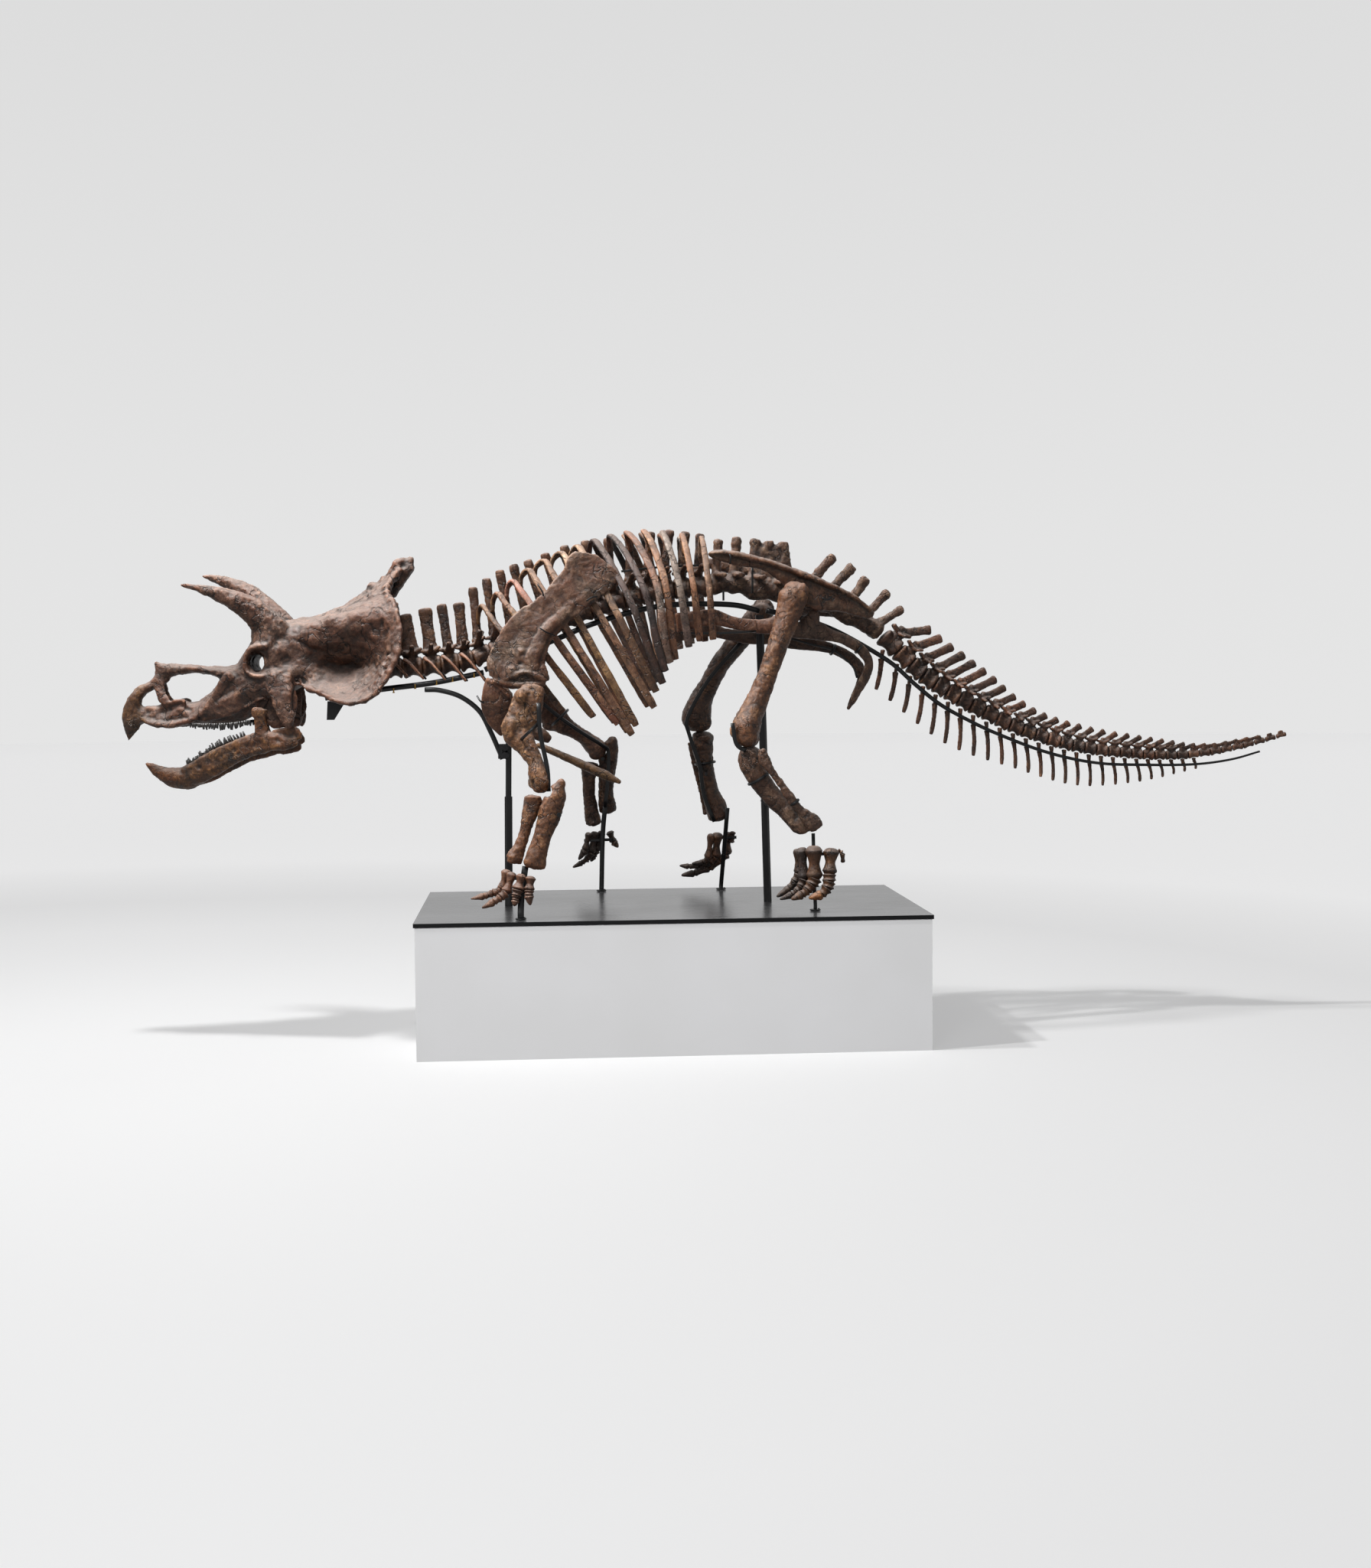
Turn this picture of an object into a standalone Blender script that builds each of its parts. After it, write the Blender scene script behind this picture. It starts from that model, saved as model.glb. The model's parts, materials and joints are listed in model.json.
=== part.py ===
"""Young triceratops skeleton standing on its display plinth.

Units are metres and +Z is up.  The beak points along -X, the animal's left side lies
towards -Y, and the origin is the middle of the plinth's underside.

A bone is a loft: a row of stations, each a place on the bone's axis with the half sizes of
its cross-section there.  Lofts that belong to one bone are joined into one closed solid.
Tables of stations give Y as a distance from the midline, so one table serves both sides.
"""
import math

import bmesh
import bpy
from mathutils import Vector

# ---------------------------------------------------------------- driving dimensions
GAP = 0.0003                  # clearance between solids that meet
FLAT_ANGLE = math.radians(3)  # faces that bend less than this are merged
WELD = 0.00005                # points closer than this are one point
SLIVER = 1e-10                # the smallest face that is kept, in square metres
THINNED_FROM = 150            # a solid with more triangles than this is thinned out
THINNING = 0.78               # to this share of them
PLINTH_LENGTH = 1.846
PLINTH_DEPTH = 0.986
PLINTH_HEIGHT = 0.476
PLATE_THICKNESS = 0.015
PLATE_OVERHANG = 0.005
PLATE_TOP = PLINTH_HEIGHT + GAP + PLATE_THICKNESS

RAIL_RADIUS = 0.0105
LEG_ROD_RADIUS = 0.007
STRUT_RADIUS = 0.0095
POST_RADIUS = 0.0145
POST_TOP_RADIUS = 0.011       # the front post's upper length is thinner
LIMB_SIDES = 8                # corners of a limb bone's cross-section

FAR_PELVIS_DROP = 0.034       # the right hip bones hang lower than the left ones
MIDLINE_CLEARANCE = 0.011     # no rib's axis comes nearer to the midline than this
DORSAL_COUNT = 14
CAUDAL_COUNT = 34
WINGED_CAUDALS = 12           # tail vertebrae with side processes
SPINED_CAUDALS = 31           # tail vertebrae with a spine
CHEVRON_COUNT = 26
CHEVRON_SIDE = 0.0045         # chevrons hang this far right of the midline, behind the rail
TAIL_RAIL_SIDE = -0.0145      # and the rail runs this far left of it

LEFT = -1
RIGHT = 1
SIDE_NAMES = {LEFT: "left", RIGHT: "right"}

AXIS_X = Vector((1.0, 0.0, 0.0))
AXIS_Y = Vector((0.0, 1.0, 0.0))

# The midline of the column of centra, as (x, z), from the skull to the hips.
COLUMN_LINE = [(-1.235, 1.41), (-1.13, 1.40), (-1.01, 1.392), (-0.875, 1.397), (-0.74, 1.418),
               (-0.60, 1.475), (-0.41, 1.555), (-0.20, 1.632), (0.0, 1.678), (0.165, 1.692)]
# The midline of the tail's centra, and the tips of its spines and chevrons, evenly spaced.
TAIL_LINE = [(0.831, 1.505), (0.99, 1.352), (1.165, 1.242), (1.37, 1.142), (1.58, 1.075),
             (1.79, 1.044), (2.00, 1.034), (2.21, 1.060), (2.422, 1.112)]
SPINE_TIP_LINE = [(1.018, 1.524), (1.232, 1.366), (1.427, 1.213), (1.652, 1.140),
                  (1.888, 1.099), (2.100, 1.072), (2.310, 1.102)]
CHEVRON_TIP_LINE = [(0.808, 1.298), (1.074, 1.090), (1.349, 0.990), (1.593, 0.922),
                    (1.840, 0.934), (2.060, 0.980)]
# The underside rail of the armature, as (x, z).
NECK_RAIL_LINE = [(-1.275, 1.283), (-1.062, 1.314), (-0.87, 1.337), (-0.684, 1.374)]
BACK_RAIL_LINE = [(-0.68, 1.384), (-0.41, 1.497), (-0.277, 1.552), (-0.124, 1.598),
                  (0.0, 1.621), (0.12, 1.627), (0.266, 1.622), (0.36, 1.60)]
TAIL_RAIL_LINE = [(0.385, 1.60), (0.50, 1.575), (0.62, 1.535), (0.734, 1.478), (0.864, 1.398),
                  (0.956, 1.316), (1.051, 1.240), (1.155, 1.181), (1.28, 1.122), (1.472, 1.050),
                  (1.662, 1.008), (1.855, 0.998), (2.049, 0.998), (2.195, 1.015), (2.31, 1.045)]


# ---------------------------------------------------------------- curves and lofts
def smooth(points, t):
    """The point at t, from 0 to 1, on a smooth curve that passes through the points."""
    span = min(max(t, 0.0), 1.0) * (len(points) - 1)
    index = min(int(span), len(points) - 2)
    f = span - index
    before = points[max(index - 1, 0)]
    after = points[min(index + 2, len(points) - 1)]
    return tuple(
        0.5 * (2 * q + (r - p) * f + (2 * p - 5 * q + 4 * r - s) * f * f
               + (3 * q - p - 3 * r + s) * f ** 3)
        for p, q, r, s in zip(before, points[index], points[index + 1], after))


def height_at(line, x):
    """The height of a line of (x, z) points at x, for a line whose x only grows."""
    for (x0, z0), (x1, z1) in zip(line, line[1:]):
        if x <= x1:
            return z0 + (z1 - z0) * (x - x0) / (x1 - x0)
    return line[-1][1]


def solid_from_rings(rings):
    """A closed mesh object through rings of equal length, with a face on each end."""
    mesh = bmesh.new()
    loops = [[mesh.verts.new(point) for point in ring] for ring in rings]
    count = len(loops[0])
    for first, second in zip(loops, loops[1:]):
        for i in range(count):
            j = (i + 1) % count
            mesh.faces.new((first[i], first[j], second[j], second[i]))
    mesh.faces.new(reversed(loops[0]))
    mesh.faces.new(loops[-1])
    bmesh.ops.triangulate(mesh, faces=mesh.faces)
    bmesh.ops.recalc_face_normals(mesh, faces=mesh.faces)
    return object_from(mesh)


def object_from(mesh):
    data = bpy.data.meshes.new("piece")
    mesh.to_mesh(data)
    mesh.free()
    piece = bpy.data.objects.new("piece", data)
    bpy.context.scene.collection.objects.link(piece)
    return piece


def loft(stations, side=RIGHT, sides=6, across=AXIS_Y, offset=(0.0, 0.0, 0.0)):
    """A bone along stations (x, y, z, half size across, half size deep)."""
    centres = [Vector((x + offset[0], side * y + offset[1], z + offset[2]))
               for x, y, z, _, _ in stations]
    rings = []
    for i, (_, _, _, half_across, half_deep) in enumerate(stations):
        tangent = (centres[min(i + 1, len(centres) - 1)] - centres[max(i - 1, 0)]).normalized()
        u = (across - tangent * across.dot(tangent)).normalized()
        v = tangent.cross(u)
        rings.append([centres[i] + u * (half_across * c) + v * (half_deep * s)
                      for c, s in section(sides)])
    return solid_from_rings(rings)


def section(sides):
    """The corners of a cross-section that just reaches 1 both across and deep."""
    corners = []
    for k in range(sides):
        angle = 2 * math.pi * (k + 0.5) / sides
        corners.append((math.cos(angle), math.sin(angle)))
    widest = max(abs(c) for c, _ in corners)
    deepest = max(abs(s) for _, s in corners)
    return [(c / widest, s / deepest) for c, s in corners]


def half_loft(stations, side, turns=(-90, -35, 35, 90)):
    """A loft cut flat on the midline: half of an ellipse, from y = GAP / 2 outwards."""
    rings = []
    for i, (x, z, half_wide, half_deep) in enumerate(stations):
        x0, z0 = stations[max(i - 1, 0)][:2]
        x1, z1 = stations[min(i + 1, len(stations) - 1)][:2]
        length = math.hypot(x1 - x0, z1 - z0)
        across_x, across_z = -(z1 - z0) / length, (x1 - x0) / length
        ring = []
        for turn in turns:
            deep = half_deep * math.sin(math.radians(turn))
            wide = GAP / 2 + half_wide * math.cos(math.radians(turn))
            ring.append((x + across_x * deep, side * wide, z + across_z * deep))
        rings.append(ring)
    return solid_from_rings(rings)


def block(x, y, z, half_x, half_y, half_z):
    """A plain box between x - half_x and x + half_x, and so on."""
    mesh = bmesh.new()
    bmesh.ops.create_cube(mesh, size=1.0)
    for vert in mesh.verts:
        vert.co = Vector((x + 2 * half_x * vert.co.x, y + 2 * half_y * vert.co.y,
                          z + 2 * half_z * vert.co.z))
    return object_from(mesh)


def tube(points, radius, sides=6, end_radius=None):
    """A round bar through (x, y, z) points."""
    last = len(points) - 1
    end = radius if end_radius is None else end_radius
    stations = [(x, y, z, radius + (end - radius) * i / last, radius + (end - radius) * i / last)
                for i, (x, y, z) in enumerate(points)]
    start, stop = Vector(points[0]), Vector(points[-1])
    along_y = abs((stop - start).normalized().y) > 0.8
    return loft(stations, sides=sides, across=AXIS_X if along_y else AXIS_Y)


# ---------------------------------------------------------------- joining and finishing
def boolean(base, others, operation):
    """Joins or cuts base by the other pieces, then removes them."""
    group = bpy.data.collections.new("operands")
    for piece in others:
        group.objects.link(piece)
    modifier = base.modifiers.new("join", "BOOLEAN")
    modifier.operation = operation
    modifier.solver = "EXACT"
    modifier.operand_type = "COLLECTION"
    modifier.collection = group
    bake(base)
    for piece in others:
        bpy.data.objects.remove(piece)
    bpy.data.collections.remove(group)


def bake(body):
    """Replaces a body's mesh by what its modifiers make of it."""
    graph = bpy.context.evaluated_depsgraph_get()
    result = bpy.data.meshes.new_from_object(body.evaluated_get(graph))
    body.modifiers.clear()
    body.data = result


def slimmed(source):
    """A copy of a mesh with its nearly flat neighbours merged, or None if that opens it."""
    mesh = bmesh.new()
    mesh.from_mesh(source)
    bmesh.ops.remove_doubles(mesh, verts=mesh.verts, dist=WELD)
    bmesh.ops.dissolve_limit(mesh, angle_limit=FLAT_ANGLE, verts=mesh.verts, edges=mesh.edges)
    bmesh.ops.triangulate(mesh, faces=mesh.faces)
    closed = all(len(edge.link_faces) == 2 for edge in mesh.edges)
    solid = all(face.calc_area() > SLIVER for face in mesh.faces)
    result = None
    if closed and solid:
        result = bpy.data.meshes.new("slim")
        mesh.to_mesh(result)
    mesh.free()
    return result


def finish(name, pieces, material, cutters=()):
    """Joins the pieces into one closed solid, cuts it, and gives it its name and colour."""
    body = pieces[0]
    if len(pieces) > 1:
        boolean(body, pieces[1:], "UNION")
    if cutters:
        boolean(body, list(cutters), "DIFFERENCE")
    body.data = slimmed(body.data) or body.data
    if len(body.data.polygons) > THINNED_FROM:
        modifier = body.modifiers.new("thin", "DECIMATE")
        modifier.decimate_type = "COLLAPSE"
        modifier.ratio = THINNING
        bake(body)
    body.name = name
    body.data.name = name
    body.data.materials.clear()
    body.data.materials.append(material)
    return body


def keep_to_side(body, side):
    """Moves back any point that thinning has carried over the midline."""
    for vert in body.data.vertices:
        vert.co.y = side * max(side * vert.co.y, GAP / 2)


def material(name, colour, roughness, metallic=0.0):
    made = bpy.data.materials.new(name)
    made.use_nodes = True
    shader = made.node_tree.nodes["Principled BSDF"]
    shader.inputs["Base Color"].default_value = (*colour, 1.0)
    shader.inputs["Roughness"].default_value = roughness
    shader.inputs["Metallic"].default_value = metallic
    return made


# ---------------------------------------------------------------- skull
def face_section(x, profile):
    """A ring across the head at x, from half a profile of (y, z) listed top to bottom."""
    right = [(x, y, z) for y, z in profile]
    left = [(x, -y, z) for y, z in reversed(profile[1:-1])]
    return right + left


def cranium():
    """The solid middle of the skull, from the mouth's front to the back of the braincase."""
    sections = [
        (-1.955, [(0, 1.262), (0.022, 1.255), (0.028, 1.228), (0.020, 1.202), (0, 1.200)]),
        (-1.860, [(0, 1.281), (0.036, 1.279), (0.050, 1.235), (0.038, 1.182), (0, 1.180)]),
        (-1.770, [(0, 1.288), (0.052, 1.286), (0.074, 1.240), (0.060, 1.190), (0, 1.186)]),
        (-1.700, [(0, 1.303), (0.062, 1.300), (0.088, 1.250), (0.066, 1.190), (0, 1.186)]),
        (-1.655, [(0, 1.392), (0.070, 1.380), (0.104, 1.290), (0.070, 1.192), (0, 1.188)]),
        (-1.590, [(0, 1.412), (0.086, 1.406), (0.128, 1.320), (0.074, 1.195), (0, 1.190)]),
        (-1.540, [(0, 1.466), (0.110, 1.480), (0.142, 1.360), (0.080, 1.205), (0, 1.200)]),
        (-1.480, [(0, 1.530), (0.120, 1.560), (0.152, 1.400), (0.100, 1.240), (0, 1.225)]),
        (-1.400, [(0, 1.560), (0.130, 1.545), (0.160, 1.420), (0.120, 1.290), (0, 1.270)]),
        (-1.330, [(0, 1.550), (0.100, 1.530), (0.110, 1.440), (0.070, 1.350), (0, 1.340)]),
        (-1.250, [(0, 1.452), (0.034, 1.445), (0.042, 1.412), (0.030, 1.375), (0, 1.370)]),
    ]
    return solid_from_rings([face_section(x, profile) for x, profile in sections])


def frill(columns=7, rows=5):
    """The parietal shield: a saddle-shaped sheet from the skull roof out to its curled rim."""
    # Along the skull roof, from the midline to the cheek, then along the rim the same way.
    root = [(-1.41, 0.0, 1.545), (-1.41, 0.07, 1.54), (-1.40, 0.125, 1.505),
            (-1.385, 0.15, 1.44), (-1.37, 0.155, 1.375)]
    rim = [(-0.962, 0.0, 1.800), (-0.985, 0.11, 1.735), (-0.976, 0.215, 1.615),
           (-0.970, 0.275, 1.47), (-1.035, 0.288, 1.335), (-1.13, 0.272, 1.272),
           (-1.275, 0.225, 1.302)]
    sag = 0.050
    thickness = 0.013
    skew = 0.050             # the right edge of the rim stands this far in front of the left

    def place(row, column, side):
        across = column / (columns - 1)
        along = row / (rows - 1)
        a, b = Vector(smooth(root, across)), Vector(smooth(rim, across))
        point = a.lerp(b, along)
        dip = sag * math.sin(math.pi * along)
        inward = min(1.0, 1.6 * across)
        point += Vector((0.0, -dip * inward, -dip * (1.0 - inward)))
        back = skew * along * inward if side == RIGHT else 0.0
        return Vector((point.x - back, side * point.y, point.z))

    steps = [(c, LEFT) for c in reversed(range(1, columns))] + [(c, RIGHT) for c in range(columns)]
    grid = [[place(row, c, side) for c, side in steps] for row in range(rows)]
    last_row, last_step = rows - 1, len(steps) - 1
    mesh = bmesh.new()
    sheets = []
    for depth in (0.5 * thickness, -0.5 * thickness):
        sheet = []
        for r, line in enumerate(grid):
            made = []
            for c, point in enumerate(line):
                along = grid[min(r + 1, last_row)][c] - grid[max(r - 1, 0)][c]
                across = line[min(c + 1, last_step)] - line[max(c - 1, 0)]
                made.append(mesh.verts.new(point + along.cross(across).normalized() * depth))
            sheet.append(made)
        sheets.append(sheet)
    outer, inner = sheets
    for r in range(last_row):
        for c in range(last_step):
            mesh.faces.new((outer[r][c], outer[r][c + 1], outer[r + 1][c + 1], outer[r + 1][c]))
            mesh.faces.new((inner[r][c], inner[r + 1][c], inner[r + 1][c + 1], inner[r][c + 1]))
    border = [(0, c) for c in range(last_step)] + [(r, last_step) for r in range(last_row)]
    border += [(last_row, c) for c in range(last_step, 0, -1)]
    border += [(r, 0) for r in range(last_row, 0, -1)]
    for (r0, c0), (r1, c1) in zip(border, border[1:] + border[:1]):
        mesh.faces.new((outer[r0][c0], inner[r0][c0], inner[r1][c1], outer[r1][c1]))
    bmesh.ops.triangulate(mesh, faces=mesh.faces)
    bmesh.ops.recalc_face_normals(mesh, faces=mesh.faces)
    return object_from(mesh)


# The brow horns differ: the right one stands higher.  (x, y, z, half across, half deep)
HORN_ROOT = {LEFT: (-1.500, 0.098, 1.578, 0.038, 0.048),
             RIGHT: (-1.492, 0.098, 1.580, 0.038, 0.048)}
HORN_STATIONS = {
    LEFT: [(-1.545, 0.115, 1.612, 0.034, 0.042), (-1.610, 0.132, 1.648, 0.027, 0.031),
           (-1.680, 0.145, 1.674, 0.018, 0.019), (-1.735, 0.150, 1.690, 0.009, 0.010),
           (-1.770, 0.152, 1.698, 0.002, 0.003)],
    RIGHT: [(-1.530, 0.115, 1.625, 0.034, 0.040), (-1.590, 0.132, 1.676, 0.027, 0.028),
            (-1.660, 0.145, 1.718, 0.018, 0.018), (-1.715, 0.150, 1.741, 0.009, 0.010),
            (-1.755, 0.152, 1.752, 0.002, 0.003)],
}


def horn_base(side):
    """The boss above the orbit, which ends in the plane where its horn begins."""
    root, first = HORN_ROOT[side], HORN_STATIONS[side][0]
    inner = (root[0] + 0.04, root[1] - 0.01, root[2] - 0.07, 0.040, 0.052)
    meet = tuple(0.5 * (a + b) for a, b in zip(root, first))
    return [inner, root, meet]


def brow_horn(side):
    """The horn core above the meeting plane."""
    meet = horn_base(side)[-1]
    root, tip = Vector(HORN_ROOT[side][:3]), Vector(HORN_STATIONS[side][0][:3])
    away = (tip - root).normalized() * (2 * GAP)
    start = (meet[0] + away.x, meet[1] + away.y, meet[2] + away.z, *meet[3:])
    return loft([start] + HORN_STATIONS[side], side, sides=8)


def skull():
    beak = [(-1.998, 0, 1.132, 0.004, 0.005), (-1.988, 0, 1.165, 0.012, 0.026),
            (-1.978, 0, 1.205, 0.022, 0.042), (-1.976, 0, 1.245, 0.026, 0.038),
            (-1.968, 0, 1.280, 0.026, 0.028), (-1.945, 0, 1.314, 0.026, 0.017),
            (-1.905, 0, 1.336, 0.024, 0.014), (-1.872, 0, 1.355, 0.022, 0.022)]
    nasal = [(-1.893, 0, 1.385, 0.010, 0.035), (-1.855, 0, 1.392, 0.034, 0.026),
             (-1.780, 0, 1.394, 0.050, 0.018), (-1.700, 0, 1.391, 0.062, 0.017),
             (-1.640, 0, 1.380, 0.076, 0.024), (-1.580, 0, 1.375, 0.090, 0.045)]
    nose_horn = [(-1.872, 0, 1.385, 0.018, 0.026), (-1.890, 0, 1.412, 0.010, 0.013),
                 (-1.900, 0, 1.426, 0.003, 0.003)]
    pieces = [cranium(), frill(), loft(beak, sides=8), loft(nasal, sides=8), loft(nose_horn)]
    narial_strut = [(-1.890, 0.012, 1.350, 0.006, 0.008), (-1.880, 0.020, 1.315, 0.005, 0.007),
                    (-1.866, 0.030, 1.262, 0.007, 0.012)]
    jugal = [(-1.450, 0.140, 1.370, 0.014, 0.050), (-1.430, 0.168, 1.285, 0.014, 0.046),
             (-1.418, 0.186, 1.215, 0.012, 0.034), (-1.412, 0.190, 1.160, 0.006, 0.020)]
    quadrate = [(-1.425, 0.120, 1.350, 0.009, 0.024), (-1.392, 0.140, 1.275, 0.009, 0.020),
                (-1.392, 0.145, 1.212, 0.010, 0.014), (-1.400, 0.145, 1.180, 0.015, 0.013)]
    cheek = [(-1.740, 0.058, 1.235, 0.020, 0.024), (-1.640, 0.088, 1.275, 0.022, 0.040),
             (-1.530, 0.130, 1.300, 0.018, 0.050), (-1.450, 0.158, 1.310, 0.014, 0.040)]
    for side in (LEFT, RIGHT):
        pieces.append(loft(narial_strut, side, sides=4))
        pieces.append(loft(jugal, side, sides=5))
        pieces.append(loft(quadrate, side, sides=4))
        pieces.append(loft(cheek, side, sides=5))
        pieces.append(loft(horn_base(side), side, sides=8))
    orbit = [(-1.518, -0.3, 1.418, 0.038, 0.043), (-1.518, 0.3, 1.418, 0.038, 0.043)]
    return pieces, [loft(orbit, sides=10, across=AXIS_X)]


def lower_jaw():
    predentary = [(-1.936, 0, 1.046, 0.004, 0.005), (-1.905, 0, 1.018, 0.012, 0.026),
                  (-1.855, 0, 0.996, 0.026, 0.038), (-1.795, 0, 0.993, 0.036, 0.046),
                  (-1.740, 0, 1.010, 0.040, 0.040)]
    ramus = [(-1.775, 0.016, 1.003, 0.018, 0.046), (-1.690, 0.052, 1.043, 0.019, 0.052),
             (-1.590, 0.088, 1.092, 0.018, 0.046), (-1.490, 0.120, 1.124, 0.017, 0.044),
             (-1.415, 0.142, 1.126, 0.016, 0.030), (-1.366, 0.148, 1.131, 0.014, 0.022)]
    coronoid = [(-1.490, 0.122, 1.140, 0.010, 0.034), (-1.500, 0.126, 1.190, 0.009, 0.022),
                (-1.500, 0.128, 1.228, 0.008, 0.027), (-1.500, 0.128, 1.248, 0.005, 0.016)]
    pieces = [loft(predentary, sides=8)]
    for side in (LEFT, RIGHT):
        pieces.append(loft(ramus, side))
        pieces.append(loft(coronoid, side))
    return pieces


# ---------------------------------------------------------------- neck
def neck():
    """A fused block behind the skull, then waisted centra with arches, spines and ribs."""
    line = COLUMN_LINE[:5]
    block_end = 0.46
    fused = [(-1.238, 0, 1.408, 0.034, 0.034), (-1.200, 0, 1.408, 0.046, 0.045),
             (-1.120, 0, 1.400, 0.038, 0.038), (-1.045, 0, 1.393, 0.042, 0.040)]
    fused_spine = [(-1.120, 0, 1.42, 0.015, 0.058), (-1.110, 0, 1.50, 0.009, 0.052),
                   (-1.090, 0, 1.555, 0.005, 0.040)]
    pieces = [loft(fused, sides=6), loft(fused_spine, sides=4)]
    tops = [(-0.975, 1.588), (-0.897, 1.612), (-0.836, 1.627), (-0.772, 1.632)]
    stations = []
    for i in range(len(tops)):
        t = block_end + (1.0 - block_end) * (i + 0.42) / (len(tops))
        x, z = smooth(line, t)
        for shift, half in ((-0.033, 0.040), (0.0, 0.030), (0.033, 0.038)):
            stations.append((x + shift, 0, z + 0.2 * shift, half, half))
        top_x, top_z = tops[i]
        spine = [(x - 0.004, 0, z + 0.02, 0.018, 0.022), (x - 0.004, 0, z + 0.10, 0.018, 0.022),
                 (top_x, 0, top_z, 0.005, 0.013)]
        pieces.append(loft(spine, sides=4))
        for side in (LEFT, RIGHT):
            rib = [(x, 0.010, z + 0.075, 0.007, 0.012), (x + 0.008, 0.062, z + 0.07, 0.006, 0.010),
                   (x + 0.080 + 0.008 * i, 0.092, z - 0.03 - 0.012 * i, 0.003, 0.005)]
            pieces.append(loft(rib, side, sides=3, across=Vector((0, 0.5, 0.85))))
    stations.insert(0, (-1.060, 0, 1.393, 0.036, 0.036))
    pieces.append(loft(stations, sides=6))
    return pieces


# ---------------------------------------------------------------- trunk
RIB_TOPS = [(-0.690, 1.630), (-0.500, 1.775), (-0.300, 1.862), (-0.100, 1.905), (0.137, 1.880)]
RIB_BREADTHS = [(0.195,), (0.208,), (0.220,), (0.285,), (0.270,), (0.190,)]
SPINE_TOPS = [(-0.720, 1.697), (-0.611, 1.765), (-0.494, 1.805), (-0.338, 1.862),
              (-0.156, 1.885), (0.011, 1.908), (0.137, 1.895)]
RIB_ENDS = [(-0.395, 1.233), (-0.278, 1.207), (-0.187, 1.179), (-0.135, 1.140), (-0.121, 1.173),
            (-0.053, 1.239), (-0.047, 1.298), (-0.024, 1.328), (-0.014, 1.373), (0.001, 1.404),
            (0.021, 1.415), (0.075, 1.460), (0.117, 1.482), (0.168, 1.490)]


def ribcage(side):
    """One side of the trunk: half of every vertebra, cut on the midline, and that side's ribs."""
    first_x, last_x = COLUMN_LINE[4][0] + 0.022, COLUMN_LINE[-1][0] - 0.004
    pitch = (last_x - first_x) / DORSAL_COUNT
    centra = []
    pieces = []
    for i in range(DORSAL_COUNT):
        share = i / (DORSAL_COUNT - 1)
        x = first_x + pitch * (i + 0.5)
        z = height_at(COLUMN_LINE, x)
        joint_x = x - 0.5 * pitch
        radius = 0.036 + 0.004 * share
        centra.append((joint_x, height_at(COLUMN_LINE, joint_x), radius, radius))
        centra.append((x, z, 0.78 * radius, 0.78 * radius))
        top_x, top_z = smooth(SPINE_TOPS, share)
        spine = [(x, z, 0.022, 0.022), (top_x, top_z, 0.008, 0.016)]
        pieces.append(half_loft(spine, side, (-90, 0, 90)))
        lean = (top_x - x) / (top_z - z)
        pieces.append(rib(i, (x, z, lean), side))
    centra.append((last_x, height_at(COLUMN_LINE, last_x), radius, radius))
    return [half_loft(centra, side)] + pieces


def rib(index, spine, side):
    """A flat rib from its vertebra's spine out over the flank to its lower end."""
    x, z, lean = spine
    share = index / (DORSAL_COUNT - 1)
    top_x, top_z = smooth(RIB_TOPS, share)
    end_x, end_z = RIB_ENDS[index]
    length = math.hypot(end_x - top_x, end_z - top_z)
    back = 0.038 * math.exp(-((index - 8.7) / 1.9) ** 2)      # the rear ribs bow backwards
    breadth, = smooth(RIB_BREADTHS, share)
    path = [(0.00, 0.012), (0.02, 0.30), (0.22, 0.72), (0.55, 1.00), (1.00, 0.90)]
    stations = []
    for along, out in path:
        bow = back * math.sin(math.pi * min(1.0, along * 1.1 + 0.05)) if along > 0.1 else 0.0
        px = top_x + (end_x - top_x) * along + bow * (top_z - end_z) / length
        pz = top_z + (end_z - top_z) * along + bow * (end_x - top_x) / length
        if along == 0.0:
            pz = max(z + 0.05, top_z - 0.075)
            px = x + lean * (pz - z)
        wide = 0.0125 if 0.1 < along < 1.0 else 0.010
        stations.append((px, max(out * breadth, MIDLINE_CLEARANCE), pz, wide, 0.0055))
    return loft(stations, side, sides=4, across=AXIS_X)


# ---------------------------------------------------------------- hips
def sacrum():
    body = [(0.166, 0, 1.692, 0.040, 0.038), (0.250, 0, 1.705, 0.034, 0.034),
            (0.340, 0, 1.690, 0.040, 0.050), (0.460, 0, 1.672, 0.036, 0.045),
            (0.580, 0, 1.640, 0.034, 0.040), (0.700, 0, 1.585, 0.034, 0.038),
            (0.812, 0, 1.522, 0.036, 0.038)]
    spines = [((0.195, 1.70), (0.195, 1.866), 0.015), ((0.272, 1.71), (0.270, 1.877), 0.014),
              ((0.525, 1.67), (0.645, 1.804), 0.014), ((0.610, 1.65), (0.718, 1.765), 0.014),
              ((0.700, 1.60), (0.770, 1.718), 0.013), ((0.765, 1.56), (0.855, 1.665), 0.013),
              ((0.800, 1.53), (0.912, 1.602), 0.012)]
    pieces = [loft(body, sides=6)]
    for (x0, z0), (x1, z1), half in spines:
        pieces.append(loft([(x0, 0, z0, 0.013, half), (x1, 0, z1, 0.006, half)], sides=4))
    fused = [(0.405, 0, 1.690, 0.022, 0.075), (0.402, 0, 1.770, 0.010, 0.078),
             (0.402, 0, 1.857, 0.008, 0.072)]
    pieces.append(loft(fused))
    for x, z in ((0.25, 1.735), (0.36, 1.725), (0.46, 1.705), (0.56, 1.675)):
        bar = [(x, -0.070, z, 0.011, 0.011), (x, 0.070, z, 0.011, 0.011)]
        pieces.append(loft(bar, sides=4, across=AXIS_X))
    return pieces


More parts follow.
